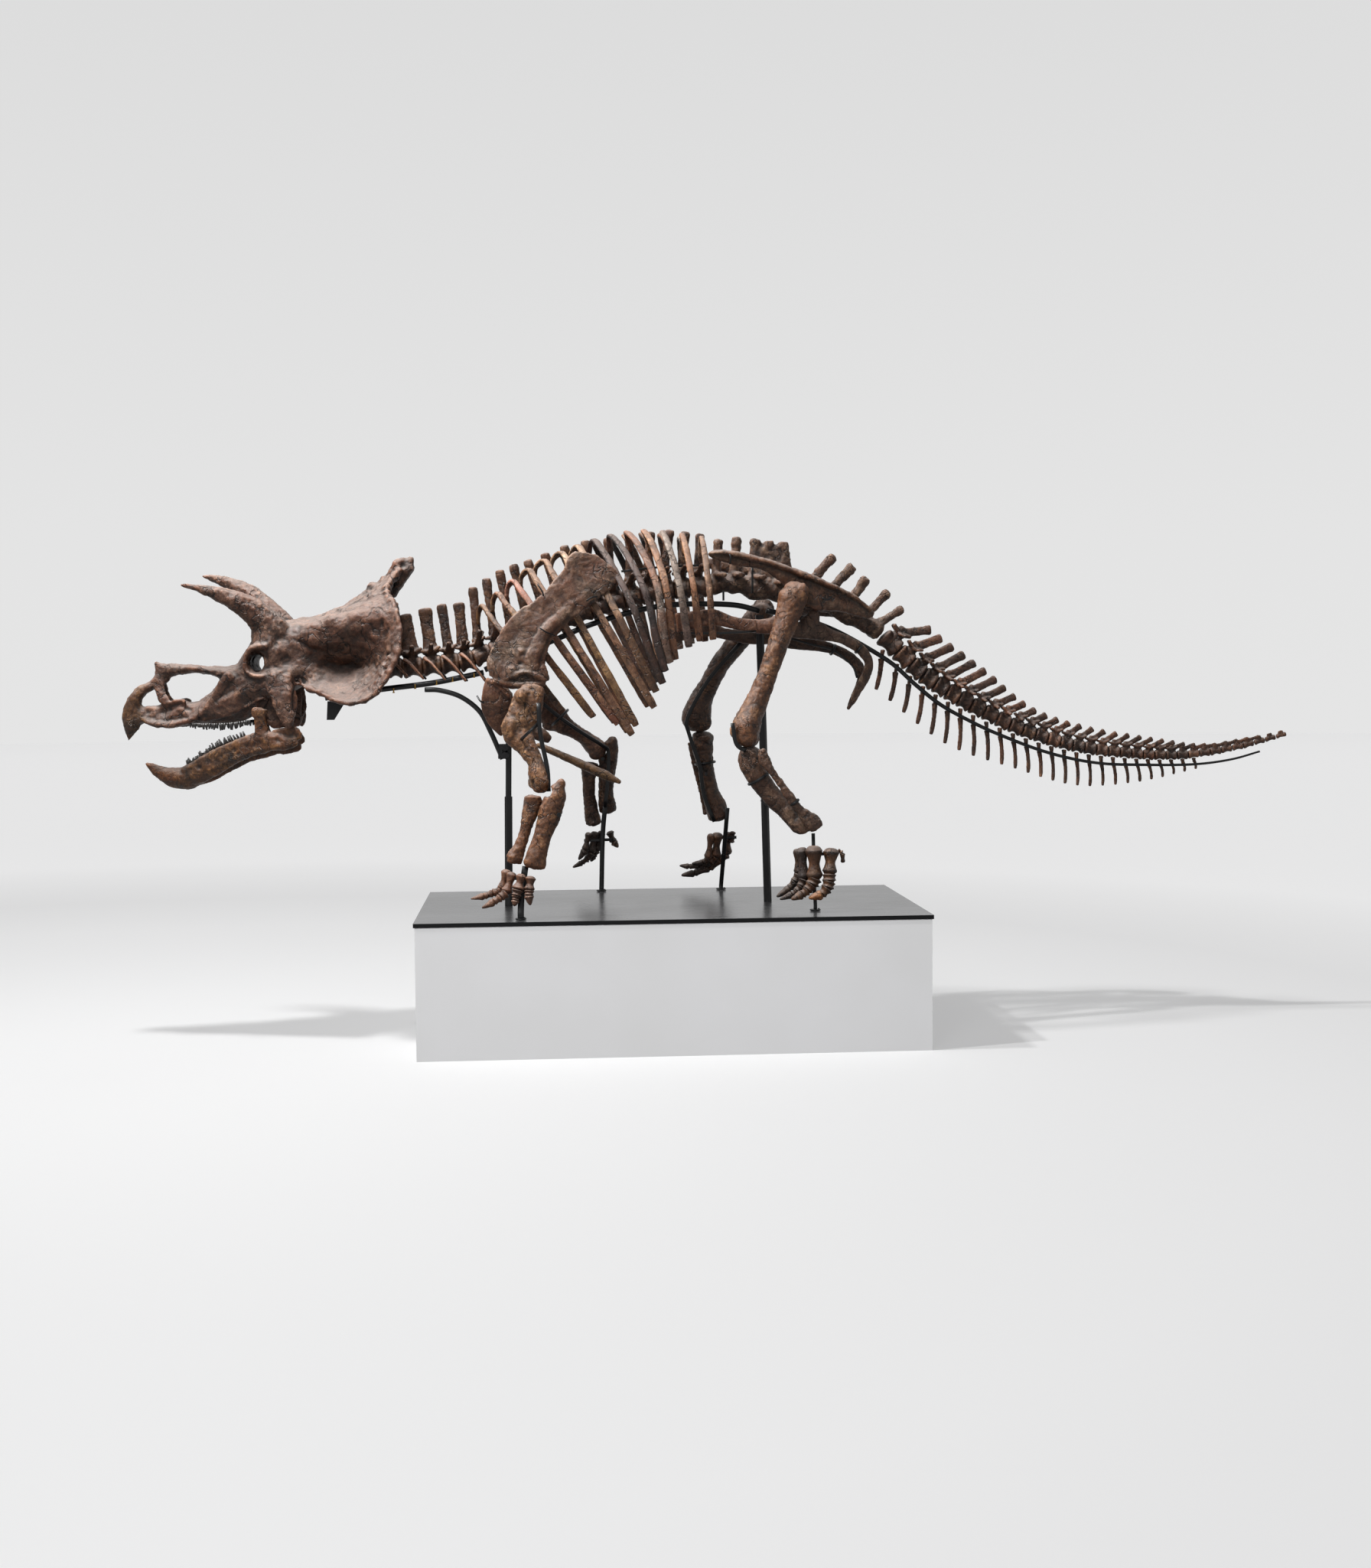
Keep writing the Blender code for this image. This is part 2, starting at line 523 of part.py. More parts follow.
def ilium(side):
    drop = (0.0, 0.0, -FAR_PELVIS_DROP * 0.3 if side == RIGHT else 0.0)
    blade = [(0.158, 0.168, 1.803, 0.020, 0.010), (0.195, 0.170, 1.802, 0.042, 0.018),
             (0.320, 0.165, 1.778, 0.066, 0.020), (0.440, 0.160, 1.738, 0.078, 0.024),
             (0.560, 0.150, 1.692, 0.072, 0.032), (0.680, 0.140, 1.638, 0.052, 0.030),
             (0.790, 0.125, 1.588, 0.024, 0.018)]
    socket = [(0.530, 0.128, 1.700, 0.030, 0.070), (0.545, 0.132, 1.640, 0.026, 0.060),
              (0.552, 0.135, 1.604, 0.024, 0.034)]
    heel = [(0.600, 0.120, 1.655, 0.016, 0.045), (0.700, 0.115, 1.600, 0.014, 0.040),
            (0.765, 0.112, 1.572, 0.010, 0.020)]
    return [loft(table, side, sides=6, offset=drop) for table in (blade, socket, heel)]


def pubis(side):
    drop = (0.0, 0.0, -FAR_PELVIS_DROP if side == RIGHT else 0.0)
    table = [(0.030, 0.150, 1.548, 0.007, 0.048), (0.140, 0.150, 1.568, 0.008, 0.036),
             (0.270, 0.145, 1.553, 0.011, 0.023), (0.380, 0.140, 1.538, 0.015, 0.025),
             (0.448, 0.136, 1.552, 0.022, 0.040)]
    return [loft(table, side, offset=drop)]


def ischium(side):
    drop = (0.0, 0.0, -FAR_PELVIS_DROP if side == RIGHT else 0.0)
    shaft = [(0.462, 0.135, 1.528, 0.014, 0.026), (0.550, 0.132, 1.530, 0.017, 0.036),
             (0.650, 0.118, 1.496, 0.014, 0.023), (0.735, 0.100, 1.455, 0.013, 0.019),
             (0.776, 0.085, 1.400, 0.012, 0.018), (0.766, 0.065, 1.338, 0.011, 0.019),
             (0.736, 0.052, 1.288, 0.010, 0.016), (0.714, 0.046, 1.258, 0.006, 0.007)]
    neck_part = [(0.552, 0.135, 1.568, 0.020, 0.028), (0.552, 0.133, 1.530, 0.015, 0.050)]
    shaft = shaft if side == LEFT else shaft[:-1]
    return [loft(table, side, offset=drop) for table in (shaft, neck_part)]


# ---------------------------------------------------------------- tail
def caudal_place(joint):
    """A point on the tail's midline and its unit direction; whole numbers are the joints."""
    t = (max(joint, 0.0) / CAUDAL_COUNT) ** 0.86
    x, z = smooth(TAIL_LINE, t)
    x1, z1 = smooth(TAIL_LINE, t + 0.01)
    x0, z0 = smooth(TAIL_LINE, t - 0.01)
    length = math.hypot(x1 - x0, z1 - z0)
    return x, z, (x1 - x0) / length, (z1 - z0) / length


def caudal_depth(joint):
    """Half the height of the tail's centra, which taper steadily to the tip."""
    return 0.040 - 0.031 * joint / CAUDAL_COUNT


def tail_length(first, last):
    """The tail vertebrae from first up to last, with their spines, processes and chevrons."""
    centra = []
    pieces = []
    gap = 0.1                                             # between lengths, in joints
    for i in range(first, last):
        for joint, swell in ((i + gap if i == first else i, 1.0), (i + 0.5, 0.76)):
            centra.append(centrum_station(joint, swell))
        pieces.extend(caudal_processes(i))
    centra.append(centrum_station(last - gap, 1.0))
    return [loft(centra, sides=5)] + pieces


def centrum_station(joint, swell):
    x, z, _, _ = caudal_place(joint)
    deep = caudal_depth(joint) * swell
    return x, 0.0, z, 0.9 * deep, deep


def caudal_processes(i):
    """The spine, side processes and chevron of one tail vertebra, where it has them."""
    x, z, dx, dz = caudal_place(i + 0.5)
    deep = caudal_depth(i + 0.5)
    share = i / (CAUDAL_COUNT - 1)
    pieces = []
    if i < SPINED_CAUDALS:
        tip_x, tip_z = smooth(SPINE_TIP_LINE, i / (SPINED_CAUDALS - 1))
        half = 0.0125 - 0.0075 * share
        spine = [(x - 0.3 * deep * dz, 0.0, z + 0.3 * deep * dx, 0.35 * deep, 1.1 * half),
                 (tip_x, 0.0, tip_z, 0.003, half)]
        if i < WINGED_CAUDALS:
            arch = (x - 1.35 * deep * dz, 0.0, z + 1.35 * deep * dx, 0.25 * deep, half)
            spine.insert(1, arch)
        pieces.append(loft(spine, sides=4))
    if i < WINGED_CAUDALS:
        wing = 0.095 * (1.0 - i / (WINGED_CAUDALS + 2))
        middle = z + 0.25 * deep
        bar = [(x, -wing, middle, 0.007, 0.004), (x, wing, middle, 0.007, 0.004)]
        pieces.append(loft(bar, sides=4, across=AXIS_X))
    if i < CHEVRON_COUNT:
        tip_x, tip_z = smooth(CHEVRON_TIP_LINE, i / (CHEVRON_COUNT - 1))
        half = 0.0085 - 0.0045 * share
        blade = [(x + 0.4 * deep * dz, CHEVRON_SIDE, z - 0.4 * deep * dx, 0.0035, half),
                 (tip_x, CHEVRON_SIDE, tip_z, 0.0025, 0.6 * half)]
        pieces.append(loft(blade, sides=4))
    return pieces


# ---------------------------------------------------------------- shoulders and fore legs
def scapula(side):
    blade = [(-0.235, 0.216, 1.785, 0.006, 0.045), (-0.275, 0.216, 1.745, 0.008, 0.092),
             (-0.345, 0.215, 1.680, 0.010, 0.080), (-0.440, 0.228, 1.600, 0.013, 0.072),
             (-0.520, 0.240, 1.520, 0.014, 0.088), (-0.552, 0.248, 1.430, 0.016, 0.108),
             (-0.556, 0.252, 1.375, 0.020, 0.112), (-0.560, 0.252, 1.345, 0.018, 0.085)]
    ridge = [(-0.335, 0.222, 1.690, 0.006, 0.009), (-0.430, 0.238, 1.575, 0.010, 0.011),
             (-0.480, 0.252, 1.490, 0.010, 0.012)]
    return [loft(blade, side, sides=6), loft(ridge, side, sides=4)]


def coracoid(side):
    table = [(-0.640, 0.238, 1.318, 0.008, 0.040), (-0.634, 0.232, 1.280, 0.011, 0.052),
             (-0.642, 0.220, 1.225, 0.011, 0.048), (-0.634, 0.208, 1.175, 0.010, 0.032),
             (-0.612, 0.200, 1.138, 0.006, 0.012)]
    return [loft(table, side, sides=8)]


FORELIMB = {
    "humerus": {
        LEFT: [(-0.506, 0.300, 1.318, 0.022, 0.034), (-0.510, 0.302, 1.290, 0.032, 0.052),
               (-0.530, 0.315, 1.215, 0.028, 0.052), (-0.552, 0.325, 1.160, 0.024, 0.050),
               (-0.530, 0.335, 1.120, 0.025, 0.036), (-0.492, 0.348, 1.060, 0.028, 0.028),
               (-0.484, 0.358, 1.005, 0.042, 0.034), (-0.476, 0.362, 0.962, 0.036, 0.026)],
        RIGHT: [(-0.500, 0.280, 1.300, 0.022, 0.030), (-0.478, 0.288, 1.268, 0.032, 0.052),
                (-0.425, 0.305, 1.205, 0.028, 0.054), (-0.388, 0.315, 1.170, 0.024, 0.042),
                (-0.340, 0.328, 1.142, 0.025, 0.030), (-0.290, 0.340, 1.105, 0.028, 0.031),
                (-0.256, 0.350, 1.072, 0.040, 0.040), (-0.240, 0.354, 1.046, 0.034, 0.026)]},
    "radius": {
        LEFT: [(-0.505, 0.375, 0.916, 0.026, 0.034), (-0.516, 0.380, 0.875, 0.022, 0.026),
               (-0.532, 0.388, 0.810, 0.017, 0.018), (-0.548, 0.394, 0.755, 0.018, 0.018),
               (-0.572, 0.402, 0.706, 0.024, 0.028)],
        RIGHT: [(-0.282, 0.362, 1.004, 0.024, 0.030), (-0.282, 0.365, 0.965, 0.020, 0.024),
                (-0.282, 0.372, 0.885, 0.018, 0.018), (-0.272, 0.380, 0.805, 0.020, 0.022),
                (-0.266, 0.384, 0.772, 0.022, 0.027)]},
    "ulna": {
        LEFT: [(-0.410, 0.388, 0.966, 0.018, 0.018), (-0.418, 0.390, 0.925, 0.028, 0.032),
               (-0.434, 0.394, 0.870, 0.030, 0.035), (-0.458, 0.402, 0.795, 0.022, 0.026),
               (-0.483, 0.410, 0.730, 0.022, 0.028), (-0.498, 0.414, 0.684, 0.026, 0.034)],
        RIGHT: [(-0.192, 0.362, 1.096, 0.018, 0.018), (-0.192, 0.366, 1.055, 0.022, 0.024),
                (-0.208, 0.370, 0.975, 0.024, 0.027), (-0.216, 0.376, 0.900, 0.020, 0.022),
                (-0.208, 0.384, 0.822, 0.024, 0.031)]},
}
HINDLIMB = {
    "femur": {
        LEFT: [(0.462, 0.205, 1.684, 0.030, 0.034), (0.464, 0.210, 1.650, 0.044, 0.054),
               (0.436, 0.224, 1.560, 0.040, 0.045), (0.388, 0.244, 1.432, 0.036, 0.037),
               (0.350, 0.256, 1.330, 0.036, 0.038), (0.302, 0.270, 1.222, 0.046, 0.048),
               (0.274, 0.280, 1.155, 0.058, 0.062), (0.282, 0.283, 1.112, 0.048, 0.046)],
        RIGHT: [(0.400, 0.205, 1.640, 0.030, 0.034), (0.392, 0.212, 1.600, 0.042, 0.050),
                (0.318, 0.226, 1.510, 0.038, 0.043), (0.232, 0.240, 1.400, 0.036, 0.039),
                (0.181, 0.252, 1.308, 0.036, 0.040), (0.150, 0.264, 1.243, 0.046, 0.050),
                (0.140, 0.276, 1.190, 0.056, 0.060), (0.146, 0.284, 1.160, 0.044, 0.044)]},
    "tibia": {
        LEFT: [(0.293, 0.280, 1.082, 0.034, 0.034), (0.290, 0.284, 1.049, 0.042, 0.044),
               (0.323, 0.288, 0.976, 0.036, 0.040), (0.367, 0.292, 0.919, 0.032, 0.037),
               (0.422, 0.296, 0.857, 0.032, 0.033), (0.467, 0.300, 0.809, 0.038, 0.036),
               (0.483, 0.304, 0.789, 0.036, 0.025)],
        RIGHT: [(0.168, 0.295, 1.118, 0.040, 0.044), (0.165, 0.300, 1.075, 0.038, 0.042),
                (0.178, 0.312, 0.995, 0.032, 0.032), (0.194, 0.322, 0.915, 0.030, 0.032),
                (0.216, 0.330, 0.840, 0.034, 0.042), (0.228, 0.334, 0.795, 0.040, 0.044)]},
    "fibula": {
        LEFT: [(0.329, 0.340, 1.084, 0.009, 0.014), (0.337, 0.342, 1.048, 0.010, 0.021),
               (0.367, 0.345, 1.000, 0.010, 0.014), (0.417, 0.347, 0.930, 0.010, 0.015),
               (0.461, 0.350, 0.868, 0.011, 0.018), (0.511, 0.353, 0.820, 0.012, 0.030),
               (0.527, 0.355, 0.798, 0.011, 0.028)],
        RIGHT: [(0.128, 0.352, 1.088, 0.010, 0.018), (0.140, 0.356, 1.010, 0.010, 0.015),
                (0.162, 0.368, 0.920, 0.010, 0.015), (0.183, 0.382, 0.850, 0.010, 0.018),
                (0.193, 0.390, 0.805, 0.010, 0.022)]},
}

# Each digit: knuckle at the wrist or ankle, knuckle at the toe's root, tip of the hoof, and
# half the width of those knuckles.  (x, y, z) with y as a distance from the midline.
FOREFOOT = {
    LEFT: [((-0.597, 0.385, 0.665), (-0.621, 0.388, 0.596), (-0.726, 0.394, 0.566), 0.0140),
           ((-0.578, 0.408, 0.658), (-0.600, 0.418, 0.589), (-0.686, 0.438, 0.538), 0.0150),
           ((-0.545, 0.436, 0.655), (-0.558, 0.442, 0.600), (-0.571, 0.452, 0.545), 0.0155),
           ((-0.513, 0.440, 0.646), (-0.520, 0.448, 0.597), (-0.517, 0.456, 0.547), 0.0150)],
    RIGHT: [((-0.286, 0.394, 0.729), (-0.302, 0.400, 0.659), (-0.328, 0.408, 0.620), 0.0115),
            ((-0.261, 0.412, 0.730), (-0.277, 0.420, 0.648), (-0.351, 0.432, 0.587), 0.0140),
            ((-0.232, 0.426, 0.729), (-0.255, 0.432, 0.655), (-0.279, 0.438, 0.610), 0.0125),
            ((-0.205, 0.420, 0.729), (-0.187, 0.420, 0.693), (-0.169, 0.422, 0.668), 0.0130)]}
HINDFOOT = {
    LEFT: [((0.458, 0.292, 0.716), (0.466, 0.286, 0.626), (0.387, 0.278, 0.542), 0.0150),
           ((0.473, 0.322, 0.719), (0.481, 0.324, 0.610), (0.392, 0.328, 0.539), 0.0190),
           ((0.513, 0.356, 0.721), (0.514, 0.358, 0.616), (0.430, 0.368, 0.543), 0.0240),
           ((0.574, 0.362, 0.715), (0.569, 0.370, 0.631), (0.492, 0.384, 0.548), 0.0240),
           ((0.612, 0.358, 0.713), (0.619, 0.358, 0.691), (0.619, 0.358, 0.670), 0.0095)],
    RIGHT: [((0.204, 0.366, 0.718), (0.195, 0.384, 0.620), (0.128, 0.386, 0.600), 0.0135),
            ((0.231, 0.380, 0.719), (0.224, 0.394, 0.624), (0.079, 0.400, 0.590), 0.0180),
            ((0.273, 0.396, 0.720), (0.270, 0.408, 0.633), (0.088, 0.424, 0.549), 0.0165),
            ((0.294, 0.386, 0.726), (0.292, 0.388, 0.703), (0.288, 0.388, 0.683), 0.0110)]}


def foot(digits, side):
    """Long bones side by side, each with a chain of toe bones and a pointed hoof."""
    toe_shares = ((0.34, 0.80), (0.62, 0.60))     # share of the toe's length, share of girth
    head, waist = 1.38, 0.62
    short_toe = 0.012
    pieces = []
    for knuckle, root, tip, girth in digits:
        start, middle, end = Vector(knuckle), Vector(root), Vector(tip)
        chain = [(start, head * girth), (start.lerp(middle, 0.5), waist * girth), (middle, girth)]
        if girth > short_toe:
            chain += [(middle.lerp(end, share), size * girth) for share, size in toe_shares]
            chain.append((end, 0.002))
        else:
            chain.append((end, 0.8 * girth))
        stations = [(*place, size, 0.92 * size) for place, size in chain]
        pieces.append(loft(stations, side, sides=4))
    return pieces


def sternum(side):
    tables = {
        LEFT: [(-0.470, 0.030, 1.094, 0.014, 0.010), (-0.390, 0.040, 1.058, 0.020, 0.015),
               (-0.300, 0.048, 1.016, 0.020, 0.016), (-0.215, 0.055, 0.976, 0.017, 0.015),
               (-0.178, 0.058, 0.958, 0.010, 0.009)],
        RIGHT: [(-0.640, 0.060, 1.205, 0.010, 0.012), (-0.560, 0.052, 1.175, 0.018, 0.022),
                (-0.480, 0.046, 1.140, 0.018, 0.027), (-0.440, 0.042, 1.118, 0.010, 0.016)]}
    return [loft(tables[side], side)]


# ---------------------------------------------------------------- stand
def rail(line, radius, end_radius=None, side_shift=0.0):
    count = len(line)
    points = []
    for i in range(count):
        x, z = smooth(line, i / (count - 1))
        points.append((x, side_shift, z))
    return tube(points, radius, end_radius=end_radius)


def build_stand(black, white, steel):
    plinth = block(0, 0, PLINTH_HEIGHT / 2, PLINTH_LENGTH / 2, PLINTH_DEPTH / 2, PLINTH_HEIGHT / 2)
    finish("stand_plinth", [plinth], white)
    finish("stand_plate", [block(0, 0, PLATE_TOP - PLATE_THICKNESS / 2,
                                 PLINTH_LENGTH / 2 + PLATE_OVERHANG,
                                 PLINTH_DEPTH / 2 + PLATE_OVERHANG, PLATE_THICKNESS / 2)], steel)
    foot_z = PLATE_TOP + GAP
    upright_z = foot_z + 0.030            # up to here a post or rod stands straight
    front = [(-0.601, -0.016, foot_z), (-0.597, -0.016, 0.906)]
    front_top = [(-0.5971, -0.016, 0.890), (-0.593, -0.016, 1.135)]
    finish("stand_post_front", [tube(front, POST_RADIUS, 8), tube(front_top, POST_TOP_RADIUS, 8)],
           black)
    rear = [(0.385, -0.011, foot_z), (0.385, -0.011, upright_z), (0.360, -0.008, 1.583)]
    finish("stand_post_rear", [tube(rear, POST_RADIUS, 8)], black)
    finish("stand_rail_neck", [rail(NECK_RAIL_LINE, RAIL_RADIUS)], black)
    finish("stand_rail_back", [rail(BACK_RAIL_LINE, RAIL_RADIUS)], black)
    finish("stand_rail_tail", [rail(TAIL_RAIL_LINE, RAIL_RADIUS, 0.004, TAIL_RAIL_SIDE)], black)
    strut = [(-0.905, 0.0, 1.311), (-0.848, -0.002, 1.308), (-0.770, -0.006, 1.283),
             (-0.701, -0.012, 1.228), (-0.660, -0.016, 1.150), (-0.628, -0.020, 1.075),
             (-0.617, -0.022, 1.048)]
    finish("stand_neck_strut", [tube(strut, STRUT_RADIUS)], black)
    half_thick = 0.003
    edges = [(-1.267, -1.199, 1.271), (-1.271, -1.243, 1.201)]      # front x, rear x, z
    gusset = [[(front_x, -half_thick, z), (rear_x, -half_thick, z),
               (rear_x, half_thick, z), (front_x, half_thick, z)] for front_x, rear_x, z in edges]
    finish("stand_skull_bracket", [solid_from_rings(gusset)], black)
    # Each rod stands straight on the plate, then leans inwards behind its foot.
    rods = {
        "fore_left": [(-0.550, -0.440), (-0.546, -0.412, 0.580), (-0.532, -0.406, 0.670)],
        "fore_right": [(-0.238, 0.415), (-0.232, 0.372, 0.720), (-0.222, 0.342, 0.840)],
        "hind_left": [(0.523, -0.326), (0.521, -0.314, 0.600), (0.520, -0.302, 0.768)],
        "hind_right": [(0.245, 0.409), (0.252, 0.358, 0.640), (0.262, 0.280, 0.830)],
    }
    for name, (base, *upper) in rods.items():
        points = [(*base, foot_z), (*base, upright_z), *upper]
        finish("stand_rod_" + name, [tube(points, LEG_ROD_RADIUS, 6)], black)


def build():
    for old in list(bpy.data.objects):
        bpy.data.objects.remove(old)
    skull_bone = material("skull_bone", (0.155, 0.088, 0.060), 0.50)
    limb_bone = material("limb_bone", (0.175, 0.088, 0.045), 0.45)
    spine_bone = material("spine_bone", (0.065, 0.038, 0.024), 0.55)
    black = material("armature_black", (0.012, 0.012, 0.013), 0.35, 0.6)
    white = material("plinth_white", (0.75, 0.75, 0.76), 0.6)
    steel = material("plate_dark_steel", (0.06, 0.06, 0.065), 0.3, 0.8)

    skull_pieces, orbit = skull()
    finish("skull", skull_pieces, skull_bone, orbit)
    finish("lower_jaw", lower_jaw(), skull_bone)
    finish("neck", neck(), spine_bone)
    finish("sacrum", sacrum(), spine_bone)
    for name, first, last in (("tail_base", 0, 9), ("tail_middle", 9, 20),
                              ("tail_end", 20, CAUDAL_COUNT)):
        finish(name, tail_length(first, last), spine_bone)
    for side, label in SIDE_NAMES.items():
        finish("brow_horn_" + label, [brow_horn(side)], skull_bone)
        keep_to_side(finish("ribcage_" + label, ribcage(side), limb_bone), side)
        finish("scapula_" + label, scapula(side), limb_bone)
        finish("coracoid_" + label, coracoid(side), limb_bone)
        finish("sternum_" + label, sternum(side), limb_bone)
        finish("ilium_" + label, ilium(side), limb_bone)
        finish("pubis_" + label, pubis(side), limb_bone)
        finish("ischium_" + label, ischium(side), limb_bone)
        for bone, tables in (*FORELIMB.items(), *HINDLIMB.items()):
            shaft = loft(tables[side], side, sides=LIMB_SIDES)
            finish(bone + "_" + label, [shaft], limb_bone)
        finish("forefoot_" + label, foot(FOREFOOT[side], side), limb_bone)
        finish("hindfoot_" + label, foot(HINDFOOT[side], side), limb_bone)
    build_stand(black, white, steel)


build()
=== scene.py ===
# %% [markdown]
# # A mounted skeleton of a young triceratops
#
# The skeleton is a few hundred fossil bones held by a black steel armature over a white plinth.
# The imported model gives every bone's place and rough shape. This script gives the bones their
# rounded ends, hollows, cracks and colours, and the armature its clamps and screws.

# %% Load the frame
import json
import math

import bmesh
import bpy
import numpy as np
from mathutils import Matrix, Vector

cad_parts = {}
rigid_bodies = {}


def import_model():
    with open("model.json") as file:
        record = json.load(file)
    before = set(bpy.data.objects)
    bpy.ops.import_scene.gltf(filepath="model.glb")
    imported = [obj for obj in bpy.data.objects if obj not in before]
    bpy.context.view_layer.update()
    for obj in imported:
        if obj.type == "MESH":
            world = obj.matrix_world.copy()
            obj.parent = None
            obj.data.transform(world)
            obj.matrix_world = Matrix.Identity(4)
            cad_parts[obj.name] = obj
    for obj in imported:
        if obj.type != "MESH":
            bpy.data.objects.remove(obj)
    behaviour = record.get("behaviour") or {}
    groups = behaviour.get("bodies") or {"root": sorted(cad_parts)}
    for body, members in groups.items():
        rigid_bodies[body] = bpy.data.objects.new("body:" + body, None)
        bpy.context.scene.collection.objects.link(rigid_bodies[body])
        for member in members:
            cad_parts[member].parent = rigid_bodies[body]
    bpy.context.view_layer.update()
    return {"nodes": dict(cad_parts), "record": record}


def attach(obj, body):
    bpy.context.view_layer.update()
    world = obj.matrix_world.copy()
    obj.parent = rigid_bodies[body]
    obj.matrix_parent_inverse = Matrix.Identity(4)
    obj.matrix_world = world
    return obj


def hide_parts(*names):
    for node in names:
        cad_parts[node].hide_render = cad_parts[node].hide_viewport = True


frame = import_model()

# %% [markdown]
# ## Camera
#
# The mount is seen from its left side, a little below the shoulder, with a lens of about
# 43 mm on a 36 mm high frame. A camera can be placed by hand or from a position and three
# angles. The angles are used here, because they can be stated exactly.

# %% Place the camera
IMAGE_HEIGHT = 2049
FRAME_HEIGHT_MM = 36.0
FOCAL_PIXELS = 2444.7
CAMERA_PLACE = (-0.4513, -7.0877, 1.3430)
CAMERA_ANGLES = (-0.0740, 0.0560, -0.0080)


def place_camera(position, yaw, pitch, roll, lens):
    data = bpy.data.cameras.new("camera")
    camera = bpy.data.objects.new("camera", data)
    bpy.context.scene.collection.objects.link(camera)
    data.sensor_fit = "VERTICAL"
    data.sensor_height = FRAME_HEIGHT_MM
    data.lens = lens
    ahead = Vector((-math.sin(yaw) * math.cos(pitch), math.cos(yaw) * math.cos(pitch),
                    -math.sin(pitch)))
    right = Vector((math.cos(yaw), math.sin(yaw), 0.0))
    up = right.cross(ahead)
    turned_right = math.cos(roll) * right + math.sin(roll) * up
    turned_up = math.cos(roll) * up - math.sin(roll) * right
    turn = Matrix((turned_right, turned_up, -ahead)).transposed().to_4x4()
    turn.translation = Vector(position)
    camera.matrix_world = turn
    bpy.context.scene.camera = camera


place_camera(CAMERA_PLACE, *CAMERA_ANGLES, FOCAL_PIXELS / IMAGE_HEIGHT * FRAME_HEIGHT_MM)
# %% [markdown]
# ## Nodes and colours
#
# A material is a small graph of nodes. Colours are chosen as the hex values that a screen
# shows, and the shader works on linear light, so one function turns the first into the second.

# %% Node helpers


def rgb(code):
    """A screen colour such as #6B4D40 as linear light."""
    values = [int(code[i:i + 2], 16) / 255 for i in (1, 3, 5)]
    return tuple(v / 12.92 if v <= 0.04045 else ((v + 0.055) / 1.055) ** 2.4 for v in values) + (1,)


def plug(tree, made, **links):
    """Fills a node's inputs, named or numbered as in i0, with values or other sockets."""
    for key, value in links.items():
        socket = made.inputs[int(key[1:]) if key[1:].isdigit() else key.replace("_", " ")]
        if isinstance(value, bpy.types.NodeSocket):
            tree.links.new(value, socket)
        else:
            socket.default_value = value
    return made


def node(tree, kind, settings=None, **links):
    """Adds a shader node. Settings name its properties, links its inputs."""
    made = tree.nodes.new("ShaderNode" + kind)
    for key, value in (settings or {}).items():
        setattr(made, key, value)
    return plug(tree, made, **links)


def new_material(name):
    """A material, its nodes, its shader and the place on the object that patterns read."""
    made = bpy.data.materials.new(name)
    made.use_nodes = True
    tree = made.node_tree
    place = node(tree, "TexCoord").outputs["Object"]
    return made, tree, tree.nodes["Principled BSDF"], place


def ramp(tree, value, stops):
    """A colour ramp through (place, colour) stops."""
    made = node(tree, "ValToRGB", i0=value)
    elements = made.color_ramp.elements
    while len(elements) < len(stops):
        elements.new(0.5)
    for element, (place, colour) in zip(elements, stops):
        element.position = place
        element.color = rgb(colour) if isinstance(colour, str) else (colour, colour, colour, 1)
    return made.outputs[0]


def mixed(tree, factor, first, second, blend="MIX"):
    return node(tree, "Mix", {"data_type": "RGBA", "blend_type": blend}, i0=factor,
                i6=first, i7=second).outputs[2]


def facing_up(tree, low, high, most):
    """Grows from nothing to most as a surface turns upwards, between two slopes."""
    normal = node(tree, "NewGeometry").outputs["Normal"]
    return ramp(tree, node(tree, "SeparateXYZ", Vector=normal).outputs[2],
                [(low, 0.0), (high, most)])


# %% [markdown]
# ## Fossil bone
#
# Fossil bone is mineral: brown with redder and greyer fields some centimetres wide, darker in
# the hollows and lighter on sharp edges, partly dirt and wear and partly painted shade and
# painted highlight, with fine dark cracks where it dried, and a satin sheen from the consolidant
# that is brushed on. Every field here has a real size, so the noise scales are in metres: a scale
# of 26 repeats about every 40 mm, one of 170 about every 6 mm. The finest grain is drawn
# coarser than the real one, which is too small to see on a four metre skeleton. Whatever faces
# up is greyed and lightened, partly by museum dust and partly as painted top light and sheen,
# so the share of it follows the surface's own slope.

# %% Fossil bone material
# Pale grey laid on whatever faces up: partly dust, partly painted top light and sheen.
DUST_AND_PAINTED_TOP_LIGHT = "#A0928A"
